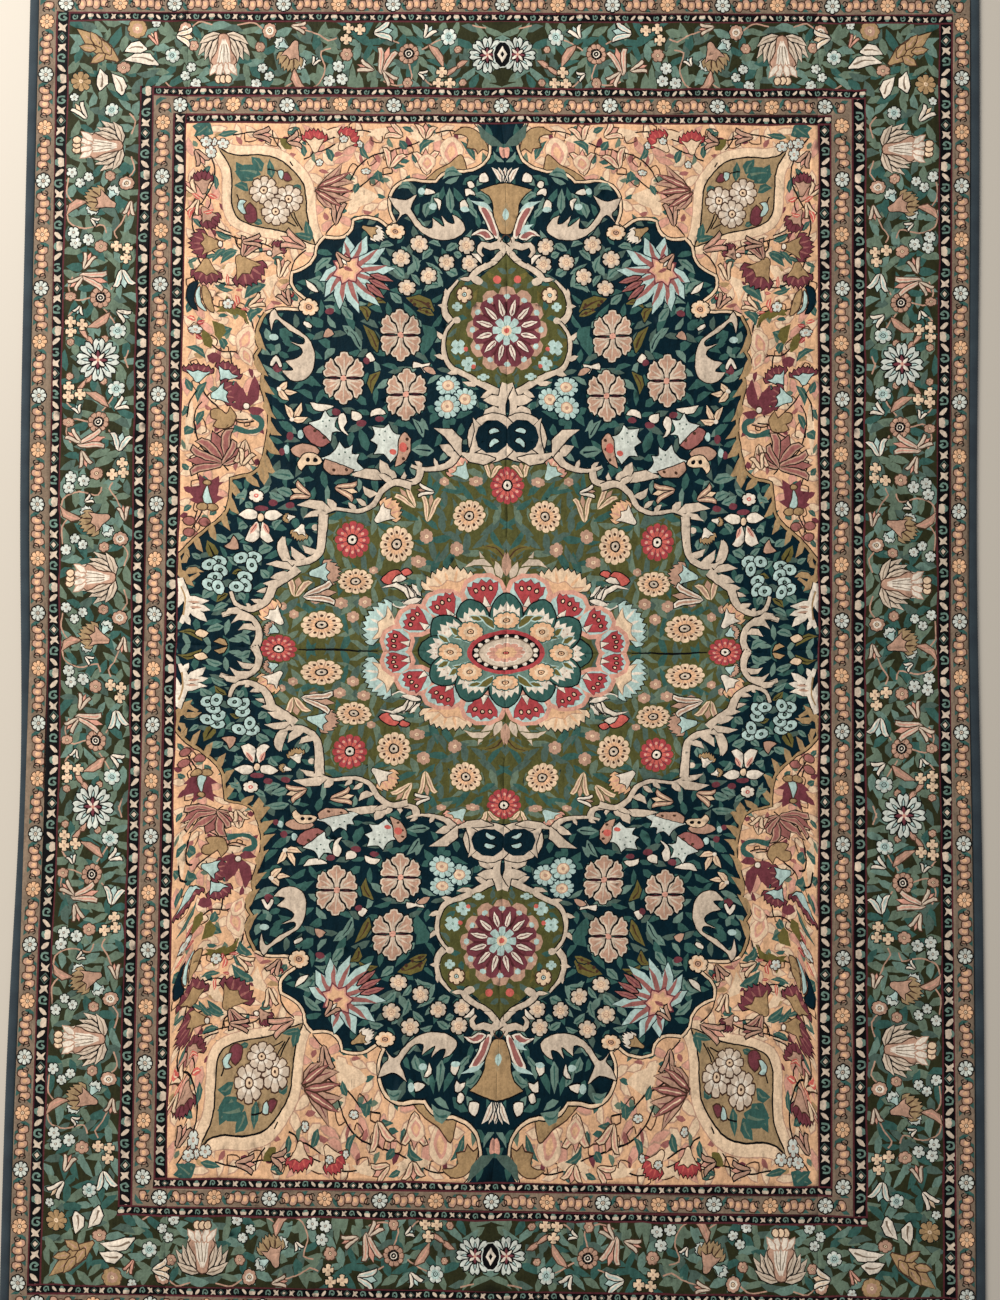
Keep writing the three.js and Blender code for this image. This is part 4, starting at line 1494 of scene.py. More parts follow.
@dataclass
class MainBorder:
    """The broad green border: palmettes and star flowers in turn, with mirrored sprays between."""

    width: float = 128.0
    rise: float = 388.0  # from a palmette to the next star flower

    # flower, across, along from the palmette, breadth, length, degrees; lilies and fans stand on their foot
    round_flowers = (
        (BorderFlower.GREY_FLORET, 24, 58, 17, 17), (BorderFlower.GREY_FLORET, 39, 69, 17, 17),
        (BorderFlower.GREY_FLORET, 54, 50, 19, 19),
        (BorderFlower.RING, -43, 68, 28, 24), (BorderFlower.SMALL_TAN, -14, 54, 18, 17),
        (BorderFlower.GREY_FLORET, 22, 172, 21, 21), (BorderFlower.GREY_FLORET, 45, 178, 21, 21),
        (BorderFlower.GREY_FLORET, 49, 159, 21, 21),
        (BorderFlower.SMALL_TAN, -1, 184, 23, 21), (BorderFlower.CREAM_FLORET, -46, 203, 20, 20),
        (BorderFlower.CREAM_FLORET, -49, 186, 19, 19),
        (BorderFlower.CREAM_FLORET, -29, 182, 20, 20), (BorderFlower.BELL, -1, 276, 36, 36),
        (BorderFlower.SMALL_TAN, 52, 276, 20, 16),
        (BorderFlower.CREAM_FLORET, 31, 326, 20, 20), (BorderFlower.CREAM_FLORET, 51, 339, 20, 20),
        (BorderFlower.CREAM_FLORET, 52, 322, 20, 20),
        (BorderFlower.AQUA_EYE, -33, 336, 31, 27), (BorderFlower.SMALL_TAN, 50, 358, 13, 12),
        (BorderFlower.SMALL_TAN, -10, 350, 12, 12),
    )
    standing_flowers = (
        (BorderFlower.TIP, -12, 96, 22, 28, 150), (BorderFlower.TIP, 10, 104, 22, 26, -30),
        (BorderFlower.THORN, -24, 108, 46, 58, -108),
        (BorderFlower.PINK_LILY, 36, 236, 34, 52, 76), (BorderFlower.PINK_LILY, 30, 240, 22, 30, -50),
        (BorderFlower.PINK_LILY, 28, 226, 22, 32, 160),
        (BorderFlower.WHITE_LILY, -39, 224, 38, 34, 10), (BorderFlower.WHITE_LILY, -30, 300, 24, 26, 60),
        (BorderFlower.WHITE_LILY, 34, 292, 18, 16, -20),
        (BorderFlower.PINK_LILY, -52, 100, 20, 28, -10), (BorderFlower.WHITE_LILY, 20, 134, 16, 16, 60),
    )
    # foot across, foot along, tip across, tip along, breadth, bend
    long_leaves = ((-18, 304, 22, 330, 14, 0.1), (28, 104, 64, 128, 14, -0.2), (24, 346, 10, 366, 9, 0.1),
        (36, 330, 20, 352, 8, 0))
    # points across and along
    vines = (
        ((-52, 20), (-58, 44), (-46, 58)), ((62, 110), (58, 140), (30, 152), (-4, 146), (-10, 160)),
        ((-44, 120), (-34, 142), (-24, 156), (-30, 168)),
        ((14, 276), (44, 282), (56, 260), (48, 240)), ((-20, 262), (-28, 250), (-40, 246)),
        ((-54, 372), (-48, 392)), ((60, 60), (62, 90), (52, 104)),
        ((-8, 296), (-24, 316), (-30, 328)), ((44, 300), (56, 312), (52, 320)),
    )

    def run(self, pen: Pen, stretch: float = 1.0, stop: float = 1e9) -> None:
        """Draw the spray from a palmette towards the next star flower.

        Args:
            pen: A pen at the palmette, its along axis towards the star flower.
            stretch: How far the places are drawn out along the border.
            stop: Where along it the spray stops.
        """
        for way in self.vines:
            if way[0][1] * stretch < stop:
                pen.line(Dye.TAN, [(v, u * stretch) for v, u in way], 2.6)
        for v0, u0, v1, u1, broad, bend in self.long_leaves:
            if u1 * stretch < stop:
                shift = (u0 + u1) / 2 * (stretch - 1)
                pen.blade(Dye.TAN, (v0, u0 + shift), (v1, u1 + shift), broad, bend, Dye.SALMON, Dye.BROWN)
        for kind, v, u, wide, high in self.round_flowers:
            if u * stretch < stop:
                kind.value.draw(pen, v, u * stretch, wide, high)
        for kind, v, u, wide, high, turn in self.standing_flowers:
            if u * stretch < stop:
                kind.value.draw(pen, v, u * stretch, wide, high, turn)

    def palmette(self, pen: Pen) -> None:
        """Draw a palmette on its side: its fan of leaves at the inner edge, its bud outwards."""
        for v, u, broad in ((8, 46, 16), (16, 34, 16), (-14, 44, 14), (30, 22, 14)):
            for side in (1, -1):
                pen.blade(Dye.BEIGE, (-34, side * 2), (v - 4, side * u), broad, 0.12 * side, Dye.TAUPE,
                    Dye.INK)
        pen.fill(Dye.TAN, ((-34, -6), (-6, -12), (16, -22), (24, -8), (24, 8), (16, 22), (-6, 12),
            (-34, 6)), Dye.BROWN)
        for u in (-12, 0, 12):
            pen.blade(Dye.IVORY, (-26, u * 0.2), (38, u), 9, 0, Dye.TAUPE)
        for u in (-24, -10, 10, 24):
            pen.blade(Dye.IVORY, (18, u * 0.4), (46 - abs(u) * 0.3, u), 10, 0, None, Dye.TAN)
        for u in (-9, 0, 9):
            pen.blob(Dye.SHELL, 46, u, 7, 6, Dye.BROWN, 8)

    def star(self, pen: Pen) -> None:
        """Draw a star flower: eight pale petals edged in black about a wine heart."""
        petal = ((2.4, 9), (8, 23), (9.5, 33), (5, 38), (0, 33))
        for k in range(8):
            own = pen.at(0, 0, k * 45)
            own.fill(Dye.PEARL, (*petal, *((-x, y) for x, y in petal[-2::-1])), Dye.INK)
            own.blade(Dye.INK, (0, 8), (0, 32), 8)
            own.blade(Dye.AQUA, (0, 15), (0, 28), 3.6)
        pen.poly(Dye.INK, [(18 * x, 18 * y) for x, y in ring_points(8, 0.7)])
        for k in range(8):
            pen.at(0, 0, k * 45).blade(Dye.IVORY if k % 2 else Dye.WINE, (0, 1), (0, 17), 6.5)
        pen.blob(Dye.SALMON, 0, 0, 3.4, 3.4, sides=6)

    def double_star(self, pen: Pen) -> None:
        """Draw the pair of star flowers at an end's middle, with a dark oval and a white diamond between."""
        for side in (1, -1):
            self.star(pen.at(side * 27, 0, 0, side * 0.84, 0.84))
        pen.blob(Dye.INK, 0, 0, 15, 23, Dye.PEARL)
        pen.poly(Dye.IVORY, ((0, -15), (9, 0), (0, 15), (-9, 0)))
        pen.poly(Dye.INK, ((0, -6), (4, 0), (0, 6), (-4, 0)))

    def corner(self, pen: Pen) -> None:
        """Draw the spray across a corner: a tan feather with split grey leaves on both sides of its foot."""
        for tip_v, tip_u, foot_v, foot_u, broad in ((50, 46, -24, -14, 30), (6, 24, -10, -2, 16),
            (24, -16, 0, -2, 16), (26, 40, 6, 12, 14), (44, 14, 16, 8, 14)):
            pen.blade(Dye.CAMEL, (foot_v, foot_u), (tip_v, tip_u), broad, 0, Dye.TAN, Dye.BROWN)
        for v0, u0, v1, u1 in ((-96, -20, -36, -12), (-76, 8, -36, 4), (-32, -76, -14, -38),
            (8, -66, 8, -28)):
            pen.blade(Dye.IVORY, (v0, u0), (v1, u1), 22, 0.14, Dye.TAUPE, Dye.INK)
        BorderFlower.SMALL_TAN.value.draw(pen, -34, -26, 24, 20)
        Rosette(8, Dye.CAMEL, Dye.INK, None, Dye.BROWN, None, None, Dye.SHELL, 0.7, 0.2, 1.6).draw(pen, 42,
            -50, 36, 36)
        Rosette(8, Dye.CAMEL, Dye.BROWN, Dye.TAN, None, None, None, Dye.SHELL, 0.86, 0.2, 1.6).draw(pen,
            -58, 45, 34, 34)
        Lily(Dye.IVORY, Dye.SHELL, Dye.INK).draw(pen, 30, -118, 26, 34, -40)
        Lily(Dye.IVORY, Dye.SHELL, Dye.INK).draw(pen, -128, 34, 34, 30, 100)
        BorderFlower.AQUA_EYE.value.draw(pen, -14, -102, 24, 24)
        BorderFlower.AQUA_EYE.value.draw(pen, -122, -2, 26, 26)
        Lily(Dye.SALMON, Dye.SHELL, Dye.BROWN).draw(pen, -96, 16, 16, 26, -30)
        BorderFlower.GREY_FLORET.value.draw(pen, 54, -80, 15, 15)
        BorderFlower.GREY_FLORET.value.draw(pen, -92, 56, 15, 15)


@dataclass
class Border:
    """All the stripes round the field, from the inner black guard to the outer floral one."""

    # stripe, near and far edge across the rug, near and far edge along it
    inner_dark = (561.5, 586.0, 927.0, 945.0)
    inner_floral = (586.0, 622.0, 945.0, 975.5)
    middle_dark = (622.0, 647.0, 975.5, 993.0)
    broad = (647.0, 775.0, 993.0, 1111.0)
    outer_dark = (775.0, 800.0, 1111.0, 1129.0)
    outer_floral = (800.0, 832.0, 1129.0, 1158.0)
    palmettes = (885.0, 112.0, -693.0)
    stars = (500.0, -290.0)
    end_palmette = 498.0
    end_star = 34.0

    def draw(self, pen: Pen) -> None:
        """Draw every stripe, from the outside in."""
        x0, x1, y0, y1 = self.broad
        for side in (1, -1):
            own = pen.at(0, 0, 0, side, 1)
            own.poly(Dye.FOREST, ((x0, -y1), (x1, -y1), (x1, y1), (x0, y1)))
            own.poly(Dye.FOREST, ((0, side * y0), (x0, side * y0), (x0, side * y1), (0, side * y1)))
            own.poly(Dye.FOREST, ((0, -side * y0), (x0, -side * y0), (x0, -side * y1), (0, -side * y1)))
        self.leaves(pen)
        border = MainBorder()
        mid_x, mid_y = (x0 + x1) / 2, (y0 + y1) / 2
        for side in (1, -1):
            flank = pen.at(0, 0, 0, side, 1)
            a, b, c = self.palmettes
            p, q = self.stars
            for start, end, stop in ((a, p, 1e9), (b, p, 1e9), (b, q, 1e9), (c, q, 1e9), (c, c - 388, 236),
                (a, a + 388, 50)):
                way = 1 if end > start else -1
                border.run(flank.at(mid_x, start, 0, 1, way), abs(end - start) / border.rise, stop)
            for y in self.palmettes:
                border.palmette(flank.at(mid_x, y))
            for y in self.stars:
                border.star(flank.at(mid_x, y))
        for end in (1, -1):
            for side in (1, -1):
                quarter = pen.at(0, 0, 0, side, end)
                stretch = (self.end_palmette - self.end_star) / border.rise
                border.run(quarter.at(self.end_palmette, mid_y, 90, -1, 1), stretch)
                border.run(quarter.at(self.end_palmette, mid_y, 90, -1, -1), 1.0, 72)
                border.palmette(quarter.at(self.end_palmette, mid_y, 90, -1, 1))
                border.corner(quarter.at(mid_x, mid_y))
            border.double_star(pen.at(0, end * mid_y))
        for stripe, guard in (
            (self.inner_dark, DarkGuard()), (self.middle_dark, DarkGuard()), (self.outer_dark, DarkGuard()),
            (self.inner_floral, FloralGuard()), (self.outer_floral, FloralGuard(32.0)),
        ):
            self.frame(pen, stripe, guard)

    def leaves(self, pen: Pen) -> None:
        """Strew the broad stripe's ground with teal leaves."""
        x0, x1, y0, y1 = self.broad
        far = LeafGround(
            ((x0, 0, 1), (x1, 0, 1), (x1, y1, 1), (x0, y1, 1)),
            22, 38, 15, (Dye.SAGE, Dye.SLATE, Dye.SAGE, Dye.SEA, Dye.TEAL), (300, 0), 3,
        )
        near = replace(far, seed=9)
        end = replace(far, outline=((0, y0, 1), (x0, y0, 1), (x0, y1, 1), (0, y1, 1)), away_from=(0, 700),
            seed=15)
        for ground, ways in ((far, (1,)), (near, (-1,)), (end, (1, -1))):
            for foot, tip, broad, bend, dye in ground.rows():
                for along in ways:
                    for across in (1, -1):
                        pen.at(0, 0, 0, across, along).blade(dye, foot, tip, broad, bend)

    def frame(self, pen: Pen, stripe: Row, guard: DarkGuard | FloralGuard) -> None:
        """Run a guard stripe all round.

        Args:
            pen: The pen to draw with.
            stripe: Its near and far edge across the rug, then along it.
            guard: The stripe's drawing.
        """
        x0, x1, y0, y1 = stripe
        upright = replace(guard, width=x1 - x0)
        level = replace(guard, width=y1 - y0)
        for sign in (1, -1):
            upright.draw(pen.at(sign * (x0 + x1) / 2, -y1, 0, sign, 1), 2 * y1)
            level.draw(pen.at(x1, sign * (y0 + y1) / 2, 90, -sign, 1), 2 * x1)


def draw_rug(pen: Pen) -> None:
    """Draw the whole rug."""
    Field().draw(pen)
    Border().draw(pen)


@dataclass(frozen=True)
class Loom:
    """The rug as it came off the loom: its outline, and how the weaving strays from the drawing."""

    half_width: float = 832.0  # to the side edging
    half_length: float = 1158.0  # to the end edging
    field_half_width: float = Field.half_width
    field_half_length: float = Field.half_length
    drift_across: float = 16.5  # the medallion sits off the middle
    drift_along: float = -14.0
    wobble: float = 0.8
    # side, depth, centre, spread: where each long side draws in
    side_wander = ((-1, 15.0, -230.0, 380.0), (1, 9.0, 180.0, 470.0))
    # drawn place, woven place: the near half of the field was beaten down harder
    beaten = (
        (0, 0), (293, 267), (378, 328), (451, 396), (560, 500),
        (670, 612), (745, 689), (790, 736), (885, 876), (927, 927),
    )

    def drawn_in(self, side: float, along: np.ndarray) -> np.ndarray:
        """How far a long side is drawn in.

        Args:
            side: 1 for the right side, -1 for the left.
            along: Places along the rug.

        Returns:
            The distance at each place.
        """
        rows = [row[1:] for row in self.side_wander if row[0] == side]
        return sum(depth * np.exp(-(((along - centre) / spread) ** 2)) for depth, centre, spread in rows)

    def woven(self, drawn: np.ndarray) -> np.ndarray:
        """Move points from the drawing to where they lie on the rug.

        Args:
            drawn: Points of the drawing, one row each.

        Returns:
            The moved points.
        """
        x, y = drawn.T.copy()
        u = np.clip(np.abs(x) / self.field_half_width, 0, 1)
        v = np.clip(np.abs(y) / self.field_half_length, 0, 1)
        places, woven = np.array(self.beaten, float).T
        lower = (y < 0) & (y > -self.field_half_length) & (np.abs(x) < self.field_half_width)
        eased = 1 - np.clip((np.abs(x) - 0.93 * self.field_half_width) / (0.07 * self.field_half_width), 0,
            1)
        pull = np.interp(-y, places, woven) + y
        out_x = x + self.drift_across * (1 - u**2) * np.sqrt(1 - v**2)
        out_y = y + self.drift_along * (1 - v**2) * np.sqrt(1 - u**2) - np.where(lower, pull * eased, 0)
        share = np.clip((np.abs(x) - self.field_half_width) / (self.half_width - self.field_half_width), 0,
            1)
        for side in (-1, 1):
            out_x -= np.where(np.sign(x) == side, side * self.drawn_in(side, y) * share, 0)
        near = np.minimum(self.half_width - np.abs(x), self.half_length - np.abs(y))
        loose = self.wobble * np.clip(near / 30, 0, 1)
        out_x += loose * (np.sin(y / 31 + 2 * np.sin(x / 170)) + 0.6 * np.sin(y / 11.3 + x / 47))
        out_y += loose * (np.sin(x / 27 + 2 * np.sin(y / 150)) + 0.6 * np.sin(x / 12.7 + y / 53))
        for reach, lean in ((3.1, 0.7), (2.3, 1.9), (1.7, 3.0)):
            out_x += 0.3 * loose * np.sin((y * math.cos(lean) + x * math.sin(lean)) / reach + np.sin(x / 9))
            out_y += 0.3 * loose * np.sin((x * math.cos(lean) - y * math.sin(lean)) / reach + np.sin(y / 8))
        return np.stack([out_x, out_y], 1)


def add_node(tree: bpy.types.NodeTree, kind: str, links: dict[str, object] | None = None,
        **settings: object) -> bpy.types.Node:
    """Add a node with its settings and links.

    Args:
        tree: The node tree.
        kind: The node's type.
        links: For each input's name or number, a socket to link or a value to set.
        settings: The node's own properties.

    Returns:
        The node.
    """
    node = tree.nodes.new(kind)
    for name, value in settings.items():
        setattr(node, name, value)
    for key, value in (links or {}).items():
        if isinstance(value, bpy.types.NodeSocket):
            tree.links.new(value, node.inputs[key])
        else:
            node.inputs[key].default_value = value
    return node


def new_tree(name: str) -> tuple[bpy.types.Material, bpy.types.NodeTree]:
    """Start a material with an empty node tree.

    Args:
        name: The material's name.

    Returns:
        The material and its tree.
    """
    material = bpy.data.materials.new(name)
    material.use_nodes = True
    material.node_tree.nodes.clear()
    return material, material.node_tree


@dataclass(frozen=True)
class WoolPile:
    """Sheared knotted wool: matt and soft, each knot a shade of its own, bands where a dye lot changed, and
    streaks of painted sheen along the nap.
    """

    name: str = "knotted_wool_pile"
    knot_mm: float = 3.2  # a knot is about 2 mm; drawn coarser so that it shows
    band_mm: float = 70.0
    roughness: float = 0.55
    dye_name: str = "dye"

    def material(self) -> bpy.types.Material:
        """Make the material."""
        material, tree = new_tree(self.name)
        place = add_node(tree, "ShaderNodeTexCoord").outputs["Object"]
        dye = add_node(tree, "ShaderNodeAttribute", attribute_name=self.dye_name).outputs["Color"]
        knots = add_node(
            tree, "ShaderNodeTexVoronoi", {"Vector": place, "Scale": 1 / (self.knot_mm * MM),
                "Randomness": 0.7}
        )
        knot_shade = add_node(tree, "ShaderNodeSeparateColor",
            {"Color": knots.outputs["Color"]}).outputs["Red"]
        bands_place = add_node(tree, "ShaderNodeMapping",
            {"Vector": place, "Scale": (0.25, 1.0, 1.0)}).outputs["Vector"]
        bands = add_node(
            tree, "ShaderNodeTexNoise", {"Vector": bands_place, "Scale": 1 / (self.band_mm * MM),
                "Detail": 3.0}
        ).outputs["Fac"]
        # noise stretched along the nap: it bumps the pile as real relief, and in the colour it is painted
        # sheen
        nap_place = add_node(tree, "ShaderNodeMapping",
            {"Vector": place, "Scale": (1.0, 0.3, 1.0)}).outputs["Vector"]
        nap_and_painted_sheen = add_node(tree, "ShaderNodeTexNoise",
            {"Vector": nap_place, "Scale": 120.0, "Detail": 4.0}).outputs["Fac"]
        shade = add_node(
            tree, "ShaderNodeMath", {0: knot_shade, 1: 0.26, 2: 0.87}, operation="MULTIPLY_ADD"
        ).outputs["Value"]
        # painted sheen: the nap streaks lighten and darken the colour
        shade = add_node(tree, "ShaderNodeMath", {0: nap_and_painted_sheen, 1: 0.9, 2: shade},
            operation="MULTIPLY_ADD").outputs["Value"]
        shade = add_node(tree, "ShaderNodeMath", {0: bands, 1: 0.5, 2: shade},
            operation="MULTIPLY_ADD").outputs["Value"]
        shade = add_node(tree, "ShaderNodeMath", {0: shade, 1: 0.7}, operation="SUBTRACT").outputs["Value"]
        colour = add_node(tree, "ShaderNodeHueSaturation", {"Color": dye, "Value": shade}).outputs["Color"]
        bump = add_node(
            tree, "ShaderNodeBump", {"Height": knots.outputs["Distance"], "Strength": 0.35,
                "Distance": 0.6 * MM}, invert=True
        )
        bump = add_node(
            tree, "ShaderNodeBump", {"Height": nap_and_painted_sheen, "Strength": 0.5, "Distance": 1.2 * MM,
                "Normal": bump.outputs["Normal"]}
        )
        shader = add_node(
            tree,
            "ShaderNodeBsdfPrincipled",
            {
                "Base Color": colour,
                "Roughness": self.roughness,
                "IOR": 1.5,
                "Specular IOR Level": 0.05,
                "Sheen Weight": Sheen.PILE.value,
                "Sheen Roughness": 0.45,
                "Normal": bump.outputs["Normal"],
            },
        )
        add_node(tree, "ShaderNodeOutputMaterial", {"Surface": shader.outputs["BSDF"]})
        return material


@dataclass(frozen=True)
class OvercastYarn:
    """Dark blue wool wound over the edge cords: matt, finely twisted and worn lighter in patches."""

    name: str = "overcast_wool_yarn"
    colour: str = "16242f"
    worn: str = "36474f"
    fibre_mm: float = 0.9

    def material(self) -> bpy.types.Material:
        """Make the material."""
        material, tree = new_tree(self.name)
        place = add_node(tree, "ShaderNodeTexCoord").outputs["Object"]
        fibres = add_node(
            tree, "ShaderNodeTexNoise", {"Vector": place, "Scale": 1 / (self.fibre_mm * MM), "Detail": 5.0}
        ).outputs["Fac"]
        patches = add_node(tree, "ShaderNodeTexNoise",
            {"Vector": place, "Scale": 18.0, "Detail": 3.0}).outputs["Fac"]
        mix = add_node(tree, "ShaderNodeMath", {0: fibres, 1: patches},
            operation="MULTIPLY").outputs["Value"]
        ramp = add_node(tree, "ShaderNodeValToRGB", {"Fac": mix})
        ramp.color_ramp.elements[0].position = 0.12
        ramp.color_ramp.elements[0].color = (*linear(self.colour), 1)
        ramp.color_ramp.elements[1].position = 0.5
        ramp.color_ramp.elements[1].color = (*linear(self.worn), 1)
        bump = add_node(tree, "ShaderNodeBump", {"Height": fibres, "Strength": 0.5, "Distance": 0.5 * MM})
        shader = add_node(
            tree,
            "ShaderNodeBsdfPrincipled",
            {
                "Base Color": ramp.outputs["Color"],
                "Roughness": 0.85,
                "IOR": 1.5,
                "Sheen Weight": Sheen.CORD.value,
                "Sheen Roughness": 0.5,
                "Normal": bump.outputs["Normal"],
            },
        )
        add_node(tree, "ShaderNodeOutputMaterial", {"Surface": shader.outputs["BSDF"]})
        return material


@dataclass(frozen=True)
class CottonGround:
    """Undyed cotton warp and weft under the knots: a pale close rib with a thread's unevenness."""

    name: str = "cotton_ground_weave"
    light: str = "cfc2a8"
    dark: str = "8f8069"
    thread_mm: float = 2.4  # about 2 mm; a little coarser so that it shows

    def material(self) -> bpy.types.Material:
        """Make the material."""
        material, tree = new_tree(self.name)
        place = add_node(tree, "ShaderNodeTexCoord").outputs["Object"]
        ribs = [
            add_node(
                tree,
                "ShaderNodeTexWave",
                {"Vector": place, "Scale": 0.314 / (self.thread_mm * MM), "Distortion": 1.5, "Detail": 2.0},
                bands_direction=axis,
            ).outputs["Fac"]
            for axis in ("X", "Y")
        ]
        weave = add_node(tree, "ShaderNodeMath", {0: ribs[0], 1: ribs[1]},
            operation="MULTIPLY").outputs["Value"]
        slub = add_node(tree, "ShaderNodeTexNoise",
            {"Vector": place, "Scale": 60.0, "Detail": 4.0}).outputs["Fac"]
        tone = add_node(tree, "ShaderNodeMath", {0: slub, 1: 0.5, 2: weave},
            operation="MULTIPLY_ADD").outputs["Value"]
        ramp = add_node(tree, "ShaderNodeValToRGB", {"Fac": tone})
        ramp.color_ramp.elements[0].color = (*linear(self.dark), 1)
        ramp.color_ramp.elements[1].color = (*linear(self.light), 1)
        bump = add_node(tree, "ShaderNodeBump", {"Height": weave, "Strength": 0.6, "Distance": 0.8 * MM})
        shader = add_node(
            tree,
            "ShaderNodeBsdfPrincipled",
            {"Base Color": ramp.outputs["Color"], "Roughness": 0.92, "IOR": 1.53,
                "Normal": bump.outputs["Normal"]},
        )
        add_node(tree, "ShaderNodeOutputMaterial", {"Surface": shader.outputs["BSDF"]})
        return material


@dataclass(frozen=True)
class PaleFloor:
    """A plain pale floor."""

    name: str = "pale_floor"
    colour: str = "cdc5b8"

    def material(self) -> bpy.types.Material:
        """Make the material."""
        material, tree = new_tree(self.name)
        colour = (*linear(self.colour), 1)
        shader = add_node(tree, "ShaderNodeBsdfPrincipled", {"Base Color": colour, "Roughness": 0.6})
        add_node(tree, "ShaderNodeOutputMaterial", {"Surface": shader.outputs["BSDF"]})
        return material


def make_mesh(name: str, points: np.ndarray, face_groups: Sequence[np.ndarray]) -> bpy.types.Object:
    """Make a mesh object from arrays.

    Args:
        name: The object's name.
        points: Its points in millimetres, one row each.
        face_groups: Faces by how many corners they have, one row of point numbers each.

    Returns:
        The object, in the scene.
    """
    mesh = bpy.data.meshes.new(name)
    sizes = np.concatenate([np.full(len(group), group.shape[1]) for group in face_groups])
    corners = np.concatenate([group.ravel() for group in face_groups]).astype(np.int32)
    mesh.vertices.add(len(points))
    mesh.vertices.foreach_set("co", (points * MM).astype(np.float32).ravel())
    mesh.loops.add(len(corners))
    mesh.loops.foreach_set("vertex_index", corners)
    mesh.polygons.add(len(sizes))
    mesh.polygons.foreach_set("loop_start", (np.cumsum(sizes) - sizes).astype(np.int32))
    mesh.update(calc_edges=True)
    mesh.validate()
    obj = bpy.data.objects.new(name, mesh)
    bpy.context.scene.collection.objects.link(obj)
    return obj


def edge_loop(faces: np.ndarray) -> np.ndarray:
    """Find the outer loop of a patch of triangles.

    Args:
        faces: The triangles' point numbers.

    Returns:
        The loop's point numbers, in the triangles' own sense.
    """
    edges = np.concatenate([faces[:, [0, 1]], faces[:, [1, 2]], faces[:, [2, 0]]]).astype(np.int64)
    span = int(faces.max()) + 1
    keys = edges[:, 0] * span + edges[:, 1]
    outer = edges[~np.isin(keys, edges[:, 1] * span + edges[:, 0])]
    after = dict(outer.tolist())
    loop = [int(outer[0, 0])]
    while after[loop[-1]] != loop[0]:
        loop.append(after[loop[-1]])
    return np.array(loop)


